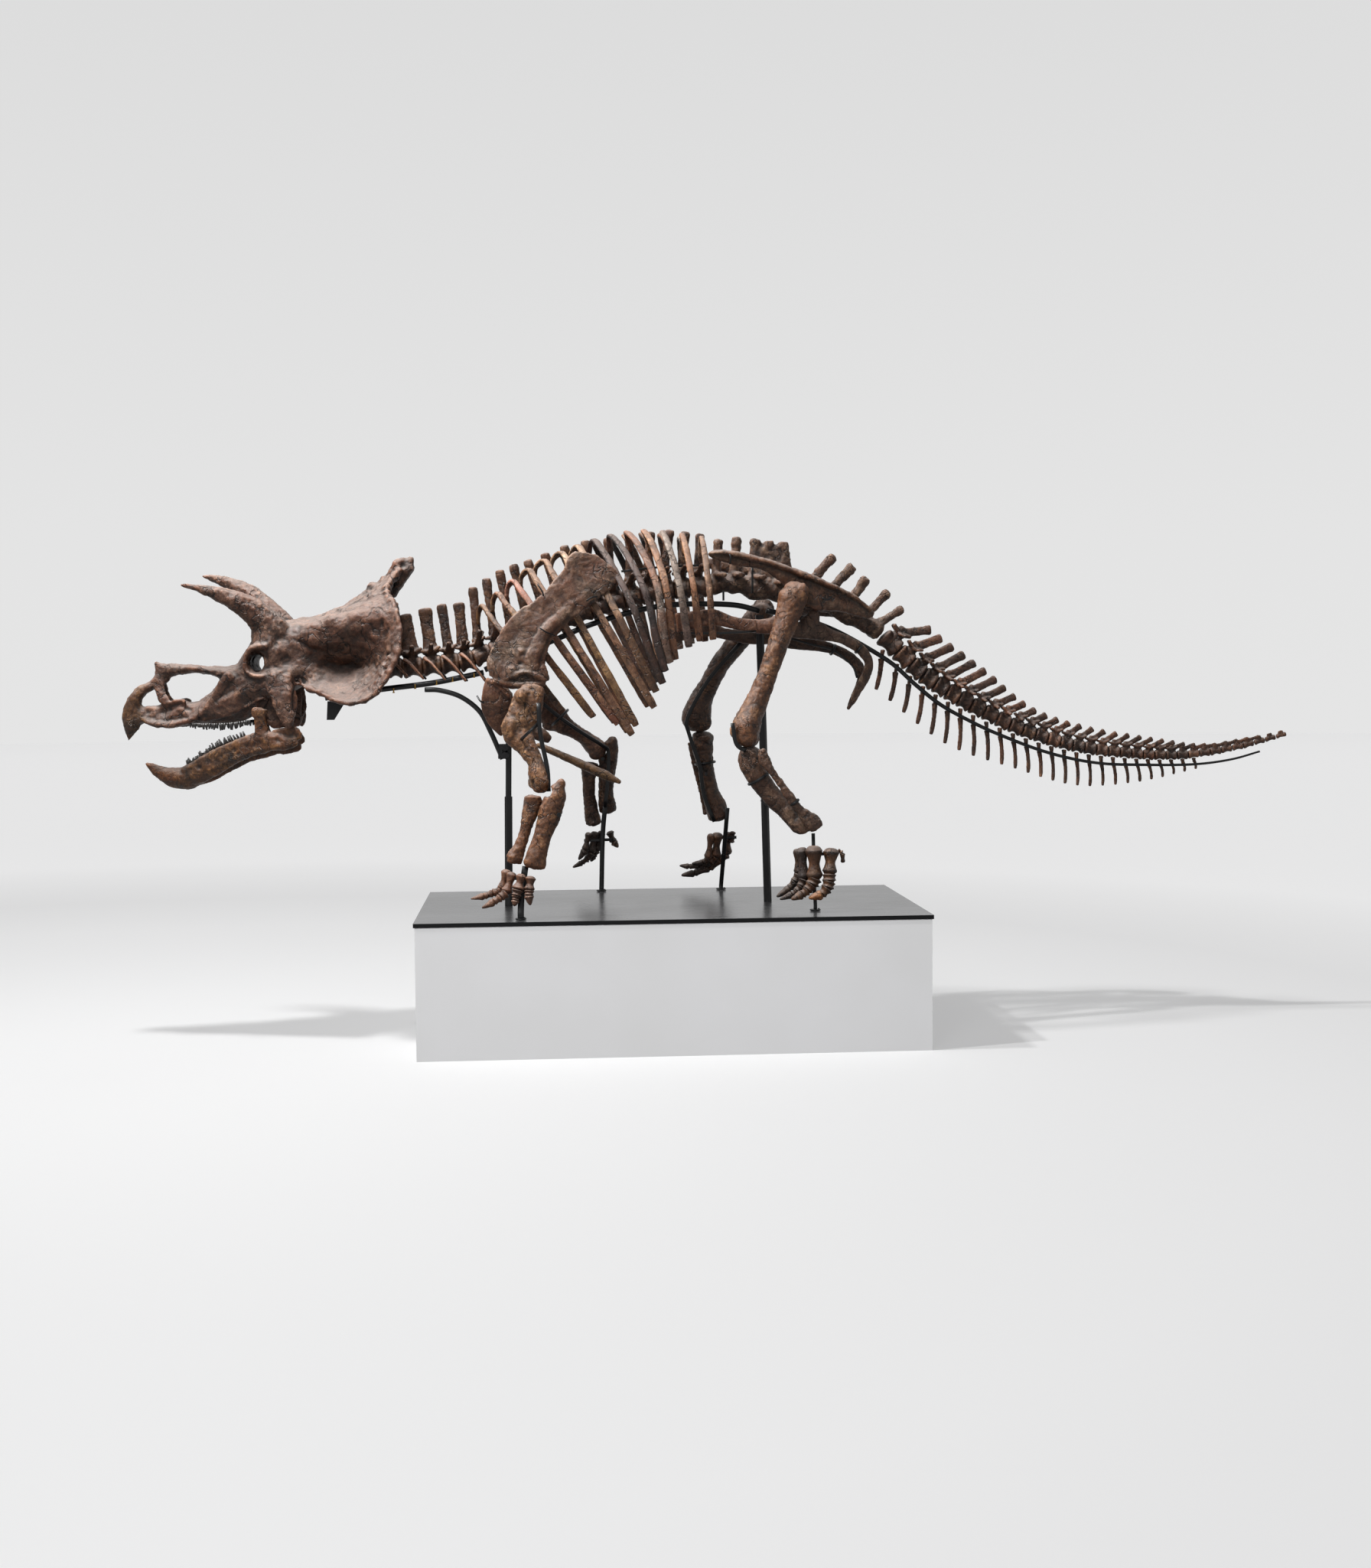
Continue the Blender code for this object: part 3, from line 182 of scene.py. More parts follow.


# The share of pale grey on up-facing surfaces is partly dust, partly painted top light.
def fossil_bone(name, dark, middle, light, blush, lower=None, roughness=0.42, cracks=0.85,
                speck=0.75, crack_scale=15.0, dust_and_painted_top_light=0.34):
    """Bone in three tones with a redder blush; lower holds the tones of a rib's lower half."""
    made, tree, shader, place = new_material(name)
    broad = node(tree, "TexNoise", Vector=place, Scale=8.0, Detail=5.0, Roughness=0.62).outputs[0]
    fields = node(tree, "TexNoise", Vector=place, Scale=26.0, Detail=7.0, Roughness=0.72,
                  Distortion=0.5).outputs[0]
    grain = node(tree, "TexNoise", Vector=place, Scale=170.0, Detail=5.0,
                 Roughness=0.75).outputs[0]
    base = ramp(tree, fields, [(0.34, dark), (0.50, middle), (0.66, light)])
    if lower:
        below = ramp(tree, fields, [(0.34, lower[0]), (0.50, lower[1]), (0.66, lower[2])])
        height = node(tree, "SeparateXYZ", Vector=place).outputs[2]
        wander = node(tree, "Math", {"operation": "MULTIPLY_ADD"}, i0=broad, i1=0.3,
                      i2=height).outputs[0]
        share = node(tree, "MapRange", i0=wander, i1=1.86, i2=1.70).outputs[0]
        base = mixed(tree, share, base, below)
    red = ramp(tree, broad, [(0.40, 0.0), (0.62, 0.7)])
    colour = mixed(tree, red, base, rgb(blush))
    flecks = ramp(tree, grain, [(0.36, 0.22), (0.52, 1.0)])
    colour = mixed(tree, speck, colour, flecks, "MULTIPLY")
    warp = node(tree, "TexNoise", Vector=place, Scale=12.0, Detail=4.0).outputs[1]
    bent = mixed(tree, 0.16, place, warp, "ADD")
    cells = node(tree, "TexVoronoi", {"feature": "DISTANCE_TO_EDGE"}, Vector=bent,
                 Scale=crack_scale).outputs[0]
    line = ramp(tree, cells, [(0.0, 0.0), (0.035, 1.0)])
    cloud = node(tree, "TexNoise", Vector=place, Scale=6.0, Detail=3.0).outputs[0]
    gate = ramp(tree, cloud, [(0.42, 1.0), (0.49, 0.0)])
    crack = mixed(tree, gate, line, (1, 1, 1, 1))
    colour = mixed(tree, cracks, colour, crack, "MULTIPLY")
    # Painted shade and highlight: concave places are darkened and sharp edges lightened, partly as
    # dirt and rubbing.
    hollow = ramp(tree, node(tree, "NewGeometry").outputs["Pointiness"],
                  [(0.42, 0.16), (0.495, 0.85), (0.56, 1.45)])
    colour = mixed(tree, 0.9, colour, hollow, "MULTIPLY")
    # Painted shade: deep places are darkened and raised ones lightened, partly as dirt and rubbing.
    depth = node(tree, "Attribute", {"attribute_name": "hollow"}).outputs["Fac"]
    depth = node(tree, "Math", {"operation": "MULTIPLY_ADD"}, i0=depth, i1=0.5, i2=0.5)
    dirt_wear_and_painted_shade = ramp(tree, depth.outputs[0], [(0.15, 1.55), (0.5, 1.0), (0.68, 0.42), (0.9, 0.18)])
    colour = mixed(tree, 0.85, colour, dirt_wear_and_painted_shade, "MULTIPLY")
    # Painted top light and sheen, partly dust: surfaces that face up mix towards pale grey.
    colour = mixed(tree, facing_up(tree, 0.22, 0.95, dust_and_painted_top_light), colour, rgb(DUST_AND_PAINTED_TOP_LIGHT))
    rough = ramp(tree, grain, [(0.3, roughness + 0.18), (0.7, roughness - 0.08)])
    coarse = node(tree, "Bump", Height=fields, Strength=0.7, Distance=0.009)
    fine = node(tree, "Bump", Height=grain, Strength=0.6, Distance=0.002, Normal=coarse.outputs[0])
    cut = node(tree, "Bump", Height=crack, Strength=0.9, Distance=0.003, Normal=fine.outputs[0])
    plug(tree, shader, Base_Color=colour, Roughness=rough, Specular_IOR_Level=0.32,
         Normal=cut.outputs[0])
    return made


BONE_LOOKS = {
    "skull": ("#170D08", "#3F291D", "#745644", "#4C2B1A"),
    "beak": ("#100804", "#33200F", "#6C4C2E", "#46270F"),
    "jaw": ("#140B05", "#402713", "#7A5430", "#5A3012"),
    "limb": ("#24150A", "#54331D", "#855F40", "#5F381D"),
    "dark": ("#130A06", "#352012", "#5E412B", "#3E2312"),
    "spine": ("#130A05", "#362116", "#634530", "#462714"),
    "blade": ("#1B100A", "#46301F", "#7A6250", "#55301C"),
    "hip": ("#1A100A", "#422D20", "#765F4C", "#4B3020"),
    "grey": ("#27211C", "#514841", "#85796E", "#4F4035"),
    "brown": ("#24150C", "#4D3122", "#7C5A43", "#593420"),
    "tan": ("#302014", "#5A4231", "#8A7059", "#5C402C"),
    "cream": ("#3A2A1E", "#69523F", "#9C866E", "#624834"),
    "pink": ("#2F1C13", "#613F34", "#987769", "#6B3E2C"),
    "purple": ("#1C1311", "#41312C", "#715A51", "#472F28"),
    "orange": ("#2A190E", "#5C3E28", "#8A6A50", "#613C24"),
    "olive": ("#25180B", "#513820", "#7E6140", "#5A3B1D"),
    # The toe tones are lighter: partly the near hind foot's own orange-brown, partly painted light.
    "toe": ("#2C190C", "#644024", "#9A6E46", "#74441F"),
    "honey": ("#26160B", "#5C3D24", "#8E6A48", "#6A4124"),
}
# The skull and the blades take more pale grey on top: partly dust, partly painted top light.
CRACKED = {"skull": {"cracks": 0.95, "crack_scale": 10.0, "dust_and_painted_top_light": 0.36},
           "blade": {"cracks": 0.95, "crack_scale": 12.0, "dust_and_painted_top_light": 0.46}}
LOOKS = {}
for look, colours in BONE_LOOKS.items():
    ending = "_cracked" if look in CRACKED else ""
    LOOKS[look] = fossil_bone("fossil_bone_" + look + ending, *colours, **CRACKED.get(look, {}))
print(len(LOOKS), "colours of bone")

# %% [markdown]
# ## Enamel, paint, steel and brass
#
# The teeth stayed black, as enamel took up iron and manganese in the ground, and it is smoother
# and glossier than bone. The plinth is board with matt white paint, whose roller left a faint
# orange peel. The armature is steel bar in satin black paint, and its small screws are brass.
# All four are one tone that wavers a little under a fine skin of bumps, so one function makes
# them. The bumps are drawn a few millimetres wide, coarser than the real ones.

# %% Enamel, paint and brass
UNEVEN_TO = 0.7


def uneven(name, dark, light, scale, detail, start=0.3, bumps=None, **values):
    """Two tones in soft patches; bumps are the scale, detail, strength and height of a skin."""
    made, tree, shader, place = new_material(name)
    cloud = node(tree, "TexNoise", Vector=place, Scale=scale, Detail=detail).outputs[0]
    plug(tree, shader, Base_Color=ramp(tree, cloud, [(start, dark), (UNEVEN_TO, light)]), **values)
    if bumps:
        fine = node(tree, "TexNoise", Vector=place, Scale=bumps[0], Detail=bumps[1])
        skin = node(tree, "Bump", Height=fine.outputs[0], Strength=bumps[2], Distance=bumps[3])
        plug(tree, shader, Normal=skin.outputs[0])
    return made


LOOKS.update(
    enamel=uneven("black_tooth_enamel", "#100E0D", "#2C2622", 160.0, 3.0, 0.35,
                  (160.0, 3.0, 0.4, 0.0008), Roughness=0.3),
    white=uneven("matt_white_paint", "#E4E4E4", "#E9E9EA", 2.5, 2.0,
                 bumps=(420.0, 3.0, 0.08, 0.0004), Roughness=0.55),
    black=uneven("satin_black_paint", "#060607", "#0E0E0F", 20.0, 3.0,
                 bumps=(700.0, 2.0, 0.15, 0.0003), Roughness=0.34, Specular_IOR_Level=0.25),
    brass=uneven("brass_screw", "#8A6A34", "#B8924E", 300.0, 2.0, Metallic=1.0, Roughness=0.3))

# %% [markdown]
# ## Dark steel plate
#
# The plate on the plinth is dark satin steel, brushed along its length, and its sawn edge
# stayed black. Its top is a lighter grey: partly the steel's own tone, partly a painted reflection
# of the pale backdrop. The brushing only changes the gloss, so it stretches a noise along X.

# %% Steel material


def dark_steel():
    made, tree, shader, place = new_material("dark_satin_steel")
    stretch = node(tree, "Mapping", Vector=place, Scale=(6.0, 900.0, 900.0)).outputs[0]
    brush = node(tree, "TexNoise", Vector=stretch, Scale=1.0, Detail=4.0).outputs[0]
    cloud = node(tree, "TexNoise", Vector=place, Scale=3.0, Detail=3.0).outputs[0]
    # Painted reflection, partly the steel's own tone: the top faces are a lighter grey.
    top = ramp(tree, cloud, [(0.3, "#6C6C6D"), (0.7, "#7C7C7E")])
    tone = mixed(tree, facing_up(tree, 0.5, 0.9, 1.0), rgb("#161617"), top)
    plug(tree, shader, Metallic=0.85, Base_Color=tone,
         Roughness=ramp(tree, brush, [(0.3, 0.20), (0.7, 0.34)]))
    return made


LOOKS["steel"] = dark_steel()
SLOT_LOOK = {"skull_bone": "skull", "limb_bone": "limb", "spine_bone": "spine",
             "armature_black": "black", "plinth_white": "white", "plate_dark_steel": "steel"}
SLOT_OF = {part["node"]: part["material_slot"] for part in frame["record"]["subparts"]}
for name, body in frame["nodes"].items():
    body.data.materials.clear()
    body.data.materials.append(LOOKS[SLOT_LOOK[SLOT_OF[name]]])
print(len(LOOKS), "materials on", len(frame["nodes"]), "solids")

# %% [markdown]
# ## Working by hand
#
# An operator acts on everything that is selected, so each helper first selects one object.
# A finished piece gets its material, rides on the one body of the mount, and says which packed
# solids it shows.

# %% Selecting, applying and finishing
LEFT, RIGHT = -1, 1
SIDE_NAMES = {LEFT: "left", RIGHT: "right"}
AXIS_X, AXIS_Y, AXIS_Z = Vector((1, 0, 0)), Vector((0, 1, 0)), Vector((0, 0, 1))


def mm(table):
    """The same table with its millimetres turned to metres; names and keys stay."""
    if isinstance(table, dict):
        return {key: mm(value) for key, value in table.items()}
    if isinstance(table, (list, tuple)):
        return type(table)(mm(value) for value in table)
    return round(table / 1000, 6)


def only(*bodies):
    """Selects the given objects and makes the first the active one."""
    bpy.ops.object.select_all(action="DESELECT")
    for body in bodies:
        body.select_set(True)
    bpy.context.view_layer.objects.active = bodies[0]
    return bodies[0]


def added(primitive_add, **settings):
    """Adds a primitive while nothing else is selected."""
    bpy.ops.object.select_all(action="DESELECT")
    primitive_add(**settings)
    return bpy.context.active_object


def apply_modifiers(body):
    only(body)
    for modifier in list(body.modifiers):
        bpy.ops.object.modifier_apply(modifier=modifier.name)
    return body


def finish(body, name, look, slot, *nodes):
    """Names a finished piece and gives it its material, body and replaced solids; slot is not used.
    """
    body.name = name
    body.data.name = name
    body.data.materials.clear()
    body.data.materials.append(LOOKS[look])
    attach(body, "root")
    if nodes:
        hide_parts(*nodes)
    return body


# %% [markdown]
# ## Lofting a bone
#
# Most bones are a cross-section that swells, narrows and turns along an axis. A sculptor
# would push clay around a wire. Here a disc is extruded once for every station, and each ring
# of corners is then moved to its station's place and size. A curve through the stations gives
# the rings between them, and smaller rings at both ends round the bone off. All the tables of
# stations further down are in millimetres.

# %% Loft helpers
LEAST_HALF_SIZE = 0.0006
THICK_SKIN, THIN_SKIN = 0.0045, 0.0035
DOME_RINGS = ((1.0, 0.30), (0.78, 0.66), (0.38, 0.90))


def smooth_rows(rows, steps=4):
    """The same rows of numbers, with more put between them on a smooth curve."""
    rows = np.array(rows, float)
    padded = np.vstack([2 * rows[0] - rows[1], rows, 2 * rows[-1] - rows[-2]])
    made = []
    for i in range(1, len(padded) - 2):
        p, q, r, s = padded[i - 1:i + 3]
        for f in np.arange(steps) / steps:
            made.append(0.5 * (2 * q + (r - p) * f + (2 * p - 5 * q + 4 * r - s) * f * f
                               + (3 * q - p - 3 * r + s) * f ** 3))
    return np.array(made + [rows[-1]])


def prism(sides, count):
    """An upright prism with a ring of corners at each whole height, left in edit mode."""
    body = added(bpy.ops.mesh.primitive_circle_add, vertices=sides, radius=1.0,
                 fill_type="NGON")
    bpy.ops.object.mode_set(mode="EDIT")
    bpy.ops.mesh.select_all(action="SELECT")
    for _ in range(count - 1):
        bpy.ops.mesh.extrude_region_move(TRANSFORM_OT_translate={"value": (0.0, 0.0, 1.0)})
    return body


def close_edit(body, mesh):
    """Writes the moved corners back and leaves edit mode with all faces pointing outwards."""
    bmesh.update_edit_mesh(body.data)
    bpy.ops.mesh.select_all(action="SELECT")
    bpy.ops.mesh.normals_make_consistent(inside=False)
    bpy.ops.object.mode_set(mode="OBJECT")
    bpy.ops.object.shade_smooth()
    return body


def lofted(rows, side=RIGHT, sides=16, across=AXIS_Y, steps=4, square=1.0, dome=0.5,
           facing=None, flutes=0, flute=0.05):
    """A bone along rows (x, y, z, half size across, half size deep); y counts from the midline.
    With facing, every ring looks that way; flutes are grooves that run along the bone."""
    rows = smooth_rows(rows, steps)
    rows[:, 3:] = np.maximum(rows[:, 3:], LEAST_HALF_SIZE)
    rows[:, 1] *= side
    if dome:
        ends = []
        for end, inner in ((rows[0], rows[1]), (rows[-1], rows[-2])):
            out = (end[:3] - inner[:3]) / max(np.linalg.norm(end[:3] - inner[:3]), 1e-9)
            reach = dome * min(end[3], end[4])
            ends.append([np.concatenate([end[:3] + out * reach * far, end[3:] * size])
                         for far, size in DOME_RINGS])
        rows = np.vstack([ends[0], rows, ends[1][::-1]])
    middles = [Vector(row[:3]) for row in rows]
    body = prism(sides, len(rows))
    mesh = bmesh.from_edit_mesh(body.data)
    frames = []
    for i in range(len(rows)):
        before, after = middles[max(i - 1, 0)], middles[min(i + 1, len(rows) - 1)]
        ahead = facing or (after - before).normalized()
        u = (across - ahead * across.dot(ahead)).normalized()
        frames.append((u, ahead.cross(u)))
    for vert in mesh.verts:
        i = round(vert.co.z)
        c, s = (math.copysign(abs(v) ** square, v) for v in (vert.co.x, vert.co.y))
        u, v = frames[i]
        if flutes:
            wave = 1.0 + flute * math.sin(flutes * math.atan2(s, c) + 0.16 * i)
            c, s = c * wave, s * wave
        vert.co = middles[i] + u * (rows[i][3] * c) + v * (rows[i][4] * s)
    return close_edit(body, mesh)


def blade(rows, side=RIGHT, sides=20, steps=3):
    """A flat bone. Each row is its two edges in X and Z, its distance from the midline, and
    half its thickness: (x, z, x, z, y, half thick)."""
    rows = smooth_rows(rows, steps)
    body = prism(sides, len(rows))
    mesh = bmesh.from_edit_mesh(body.data)
    for vert in mesh.verts:
        xa, za, xb, zb, y, thick = rows[round(vert.co.z)]
        share = 0.5 - 0.5 * vert.co.x
        thickness = max(thick, 0.001) * math.copysign(abs(vert.co.y) ** 0.6, vert.co.y)
        vert.co = Vector((xa + (xb - xa) * share, side * (y + thickness),
                          za + (zb - za) * share))
    return close_edit(body, mesh)


def ball(centre, radii, side=RIGHT):
    """A rounded lump."""
    x, y, z = centre
    lump = added(bpy.ops.mesh.primitive_ico_sphere_add, subdivisions=3, radius=1.0,
                 location=(x, side * y, z), scale=radii)
    bpy.ops.object.transform_apply(location=True, rotation=True, scale=True)
    return lump


def joined(parts):
    """Several meshes as one object, not yet welded."""
    body = only(*parts)
    if len(parts) > 1:
        bpy.ops.object.join()
    return body


def cut_by(body, cutters):
    """Cuts closed shapes out of a body and removes them."""
    for cutter in cutters:
        modifier = body.modifiers.new("cut", "BOOLEAN")
        modifier.operation = "DIFFERENCE"
        modifier.solver = "MANIFOLD"
        modifier.object = cutter
        apply_modifiers(body)
        bpy.data.objects.remove(cutter)
    return body


def fused(parts, voxel=0.005, rounds=3):
    """One closed skin over overlapping parts: remeshed at the voxel's size and smoothed."""
    body = joined(parts)
    remesh = body.modifiers.new("skin", "REMESH")
    remesh.mode = "VOXEL"
    remesh.voxel_size = voxel
    if rounds:
        smooth = body.modifiers.new("round", "SMOOTH")
        smooth.iterations = rounds
    apply_modifiers(body)
    bpy.ops.object.shade_smooth()
    return body


# %% [markdown]
# ## Pressing dents and raising ridges
#
# Sockets, muscle scars and swellings are pressed into the skin or drawn out of it, as a thumb
# does on clay: the corners near a point move along their normals, less the farther they are.

# %% Brush helper


def coordinates(mesh, kind="co"):
    flat = np.empty(len(mesh.vertices) * 3)
    mesh.vertices.foreach_get(kind, flat)
    return flat.reshape(-1, 3)


def brushed(body, strokes, sides=(LEFT, RIGHT)):
    """Moves the skin near each stroke (x, y, z, radius, height); y counts from the midline."""
    place = coordinates(body.data)
    normal = coordinates(body.data, "normal")
    for x, y, z, radius, height in strokes:
        for side in sides:
            far = np.linalg.norm(place - (x, side * y, z), axis=1)
            place += normal * (height * np.exp(-(far / radius) ** 2))[:, None]
    body.data.vertices.foreach_set("co", place.ravel())
    body.data.update()
    return body


def stroke(points, radius, height, count=9):
    """A row of presses along a line through the points."""
    line = smooth_rows(points, 8)
    places = np.linspace(0, len(line) - 1, count).round().astype(int)
    return [(*line[i], radius, height) for i in places]


# %% [markdown]
# ## Weathering
#
# No fossil surface is smooth: it is lumpy over a few centimetres and rough over a few
# millimetres. Sculpting that by hand on two hundred bones would take months, so cloud textures
# push each surface in and out. They are read in the piece's own space, so no two bones match.
# How deep each place lies is kept on the mesh for the material to read. The material darkens
# the hollows and lightens the ridges: partly dirt and rubbing, partly painted shade and painted
# highlight.

# %% Weathering helper


def clouds(name, size, depth):
    texture = bpy.data.textures.new(name, "CLOUDS")
    texture.noise_scale = size
    texture.noise_depth = depth
    return texture


LUMPS, ROUGH = clouds("lumps", 0.045, 3), clouds("rough", 0.012, 3)
DEEPEST_HOLLOW = 0.004


def weathered(body, lumps=0.006, rough=0.003, rounds=24):
    """Pushes the surface in and out by up to half of each amount."""
    for texture, strength in ((LUMPS, lumps), (ROUGH, rough)):
        if strength:
            push = body.modifiers.new("weather", "DISPLACE")
            push.texture = texture
            push.texture_coords = "LOCAL"
            push.strength = strength
            push.mid_level = 0.5
    apply_modifiers(body)
    return marked_hollows(body, rounds)


def marked_hollows(body, rounds):
    """Keeps how deep each corner lies below its smoothed surroundings, as an attribute."""
    before = coordinates(body.data)
    normals = coordinates(body.data, "normal")
    copy = body.copy()
    copy.data = body.data.copy()
    bpy.context.scene.collection.objects.link(copy)
    smooth = copy.modifiers.new("smooth", "SMOOTH")
    smooth.iterations = rounds
    apply_modifiers(copy)
    depth = ((coordinates(copy.data) - before) * normals).sum(axis=1)
    bpy.data.objects.remove(copy)
    mark = body.data.attributes.new("hollow", "FLOAT", "POINT")
    mark.data.foreach_set("value", np.clip(depth / DEEPEST_HOLLOW, -1.0, 1.0).astype(np.float32))
    return body


def counted(pieces, what):
    print(what + ":", len(pieces), "pieces,", sum(len(p.data.polygons) for p in pieces), "faces")

# %% [markdown]
# ## Limb bones
#
# A limb bone is a shaft between two swollen ends. The ends carry the joints: a ball at the
# hip, a pair of rounded knuckles with a groove between them at the knee, a crest where the
# big shoulder muscle pulled. The shaft is lofted, the knobs are rounded lumps pushed into it,
# and one voxel skin runs over all of them, as in a sculptor's clay.

# %% Limb bone stations
# In mm: (x, y, z, half size across, half size deep), y from the midline, from the body outwards.
FORELIMB = mm({
    "humerus": {
        LEFT: [(-506, 300, 1318, 22, 34), (-510, 302, 1290, 32, 52), (-534, 315, 1215, 28, 60),
               (-556, 325, 1160, 25, 58), (-530, 335, 1115, 26, 42), (-494, 348, 1055, 29, 30),
               (-482, 358, 1000, 42, 36), (-472, 362, 955, 36, 32)],
        RIGHT: [(-500, 280, 1300, 22, 30), (-478, 288, 1268, 32, 52), (-425, 305, 1205, 28, 54),
                (-388, 315, 1170, 24, 42), (-340, 328, 1142, 25, 30), (-290, 340, 1105, 28, 31),
                (-256, 350, 1072, 40, 40), (-240, 354, 1046, 34, 26)]},
    "radius": {
        LEFT: [(-500, 375, 916, 28, 36), (-512, 380, 875, 25, 29), (-530, 388, 810, 20, 21),
               (-548, 394, 755, 21, 22), (-572, 402, 706, 26, 31)],
        RIGHT: [(-282, 362, 1004, 26, 36), (-284, 365, 965, 22, 29), (-284, 372, 885, 20, 24),
                (-274, 380, 805, 22, 30), (-268, 384, 772, 24, 34)]},
    "ulna": {
        LEFT: [(-412, 388, 962, 22, 24), (-422, 390, 925, 32, 38), (-442, 394, 870, 34, 42),
               (-466, 402, 795, 26, 33), (-488, 410, 730, 26, 36), (-500, 414, 684, 30, 43)],
        RIGHT: [(-196, 362, 1092, 22, 26), (-198, 366, 1055, 26, 32), (-212, 370, 975, 26, 35),
                (-218, 376, 900, 24, 30), (-210, 384, 822, 26, 37)]}})
HINDLIMB = mm({
    "femur": {
        LEFT: [(462, 205, 1684, 30, 34), (464, 210, 1650, 44, 54), (436, 224, 1560, 40, 45),
               (388, 244, 1432, 36, 37), (350, 256, 1330, 36, 38), (304, 270, 1228, 45, 44),
               (278, 280, 1165, 58, 53), (276, 283, 1122, 54, 46)],
        RIGHT: [(400, 205, 1640, 30, 34), (392, 212, 1600, 42, 50), (318, 226, 1510, 38, 43),
                (232, 240, 1400, 36, 39), (181, 252, 1308, 36, 40), (150, 264, 1243, 46, 50),
                (140, 276, 1190, 56, 60), (146, 284, 1160, 44, 44)]},
    "tibia": {
        LEFT: [(293, 280, 1082, 34, 34), (290, 284, 1049, 42, 44), (323, 288, 976, 36, 40),
               (367, 292, 919, 32, 37), (422, 296, 857, 32, 33), (467, 300, 809, 38, 36),
               (483, 304, 789, 36, 25)],
        RIGHT: [(168, 295, 1118, 40, 44), (165, 300, 1075, 38, 42), (178, 312, 995, 32, 32),
                (194, 322, 915, 30, 32), (216, 330, 840, 34, 42), (228, 334, 795, 40, 44)]},
    "fibula": {
        LEFT: [(329, 340, 1084, 9, 14), (337, 342, 1048, 10, 21), (367, 345, 1000, 10, 14),
               (417, 347, 930, 10, 15), (461, 350, 868, 11, 18), (511, 353, 820, 12, 30),
               (527, 355, 798, 11, 28)],
        RIGHT: [(128, 352, 1088, 10, 18), (140, 356, 1010, 10, 15), (162, 368, 920, 10, 15),
                (183, 382, 850, 10, 18), (193, 390, 805, 10, 22)]}})

# %% [markdown]
# The knobs and crests that belong to each end are listed next, as lumps with a centre and
# three half sizes, and as grooves cut by the same kind of lump. The groove between the
# knuckles is what makes a knee end read as a joint and not as a club.

# %% Knobs and grooves
KNOBS = mm({
    ("humerus", LEFT): [((-495, 285, 1300), (40, 30, 30)), ((-540, 330, 1285), (20, 22, 32)),
                        ((-578, 340, 1165), (20, 20, 46)), ((-492, 340, 975), (30, 24, 24)),
                        ((-470, 385, 982), (26, 20, 24))],
    ("humerus", RIGHT): [((-490, 270, 1285), (34, 30, 36)), ((-430, 312, 1165), (40, 16, 24)),
                         ((-262, 335, 1052), (26, 24, 26)), ((-236, 370, 1064), (24, 20, 24))],
    ("ulna", LEFT): [((-402, 390, 972), (18, 18, 22)), ((-440, 388, 905), (26, 20, 18)),
                     ((-500, 416, 690), (28, 24, 16))],
    ("ulna", RIGHT): [((-190, 362, 1102), (20, 20, 18)), ((-226, 366, 1020), (22, 18, 16))],
    ("radius", LEFT): [((-502, 378, 924), (32, 26, 10)), ((-574, 404, 702), (26, 22, 14))],
    ("radius", RIGHT): [((-282, 362, 1008), (28, 22, 9))],
    ("femur", LEFT): [((455, 165, 1640), (46, 44, 44)), ((492, 232, 1655), (26, 22, 40)),
                      ((415, 205, 1500), (12, 14, 30)), ((290, 252, 1128), (42, 26, 38)),
                      ((276, 312, 1132), (44, 24, 40)), ((235, 292, 1150), (22, 30, 26))],
    ("femur", RIGHT): [((392, 165, 1595), (44, 44, 42)), ((160, 254, 1172), (40, 24, 34)),
                       ((140, 306, 1172), (40, 24, 36))],
    ("tibia", LEFT): [((300, 262, 1070), (34, 24, 22)), ((285, 308, 1070), (30, 20, 22)),
                      ((262, 290, 1030), (12, 14, 30)), ((478, 284, 790), (24, 22, 18)),
                      ((480, 322, 792), (24, 18, 18))],
    ("tibia", RIGHT): [((170, 275, 1108), (34, 24, 20)), ((164, 318, 1108), (32, 20, 20)),
                       ((230, 334, 798), (34, 34, 20))]})
GROOVES = mm({
    ("humerus", LEFT): [((-505, 395, 965), (12, 20, 30))],
    ("femur", LEFT): [((262, 283, 1085), (30, 14, 30)), ((216, 283, 1120), (16, 14, 40))],
    ("femur", RIGHT): [((150, 280, 1125), (34, 14, 30))],
    ("tibia", LEFT): [((318, 330, 1085), (12, 16, 40))],
    ("ulna", LEFT): [((-448, 392, 945), (18, 40, 22))],
    ("ulna", RIGHT): [((-232, 366, 1060), (22, 40, 22))]})
# The far limb bones take darker tones than the near ones: painted shade, as they stand in shade.
LIMB_LOOK = {("femur", RIGHT): "dark", ("tibia", RIGHT): "dark", ("fibula", RIGHT): "dark",
             ("humerus", RIGHT): "brown", ("radius", RIGHT): "dark", ("ulna", RIGHT): "dark",
             ("tibia", LEFT): "hip", ("fibula", LEFT): "hip", ("humerus", LEFT): "honey"}
THIN_BONES = ("fibula", "radius")

# %% [markdown]
# ## Limb bones, joined and weathered
#
# Each bone is lofted along its rows, gets its crests and knobs, is fused into one skin and then
# weathered. The lumps could be joined by boolean unions too, but those leave a hard crease, and
# here ridges and ends run into the shaft without a seam.

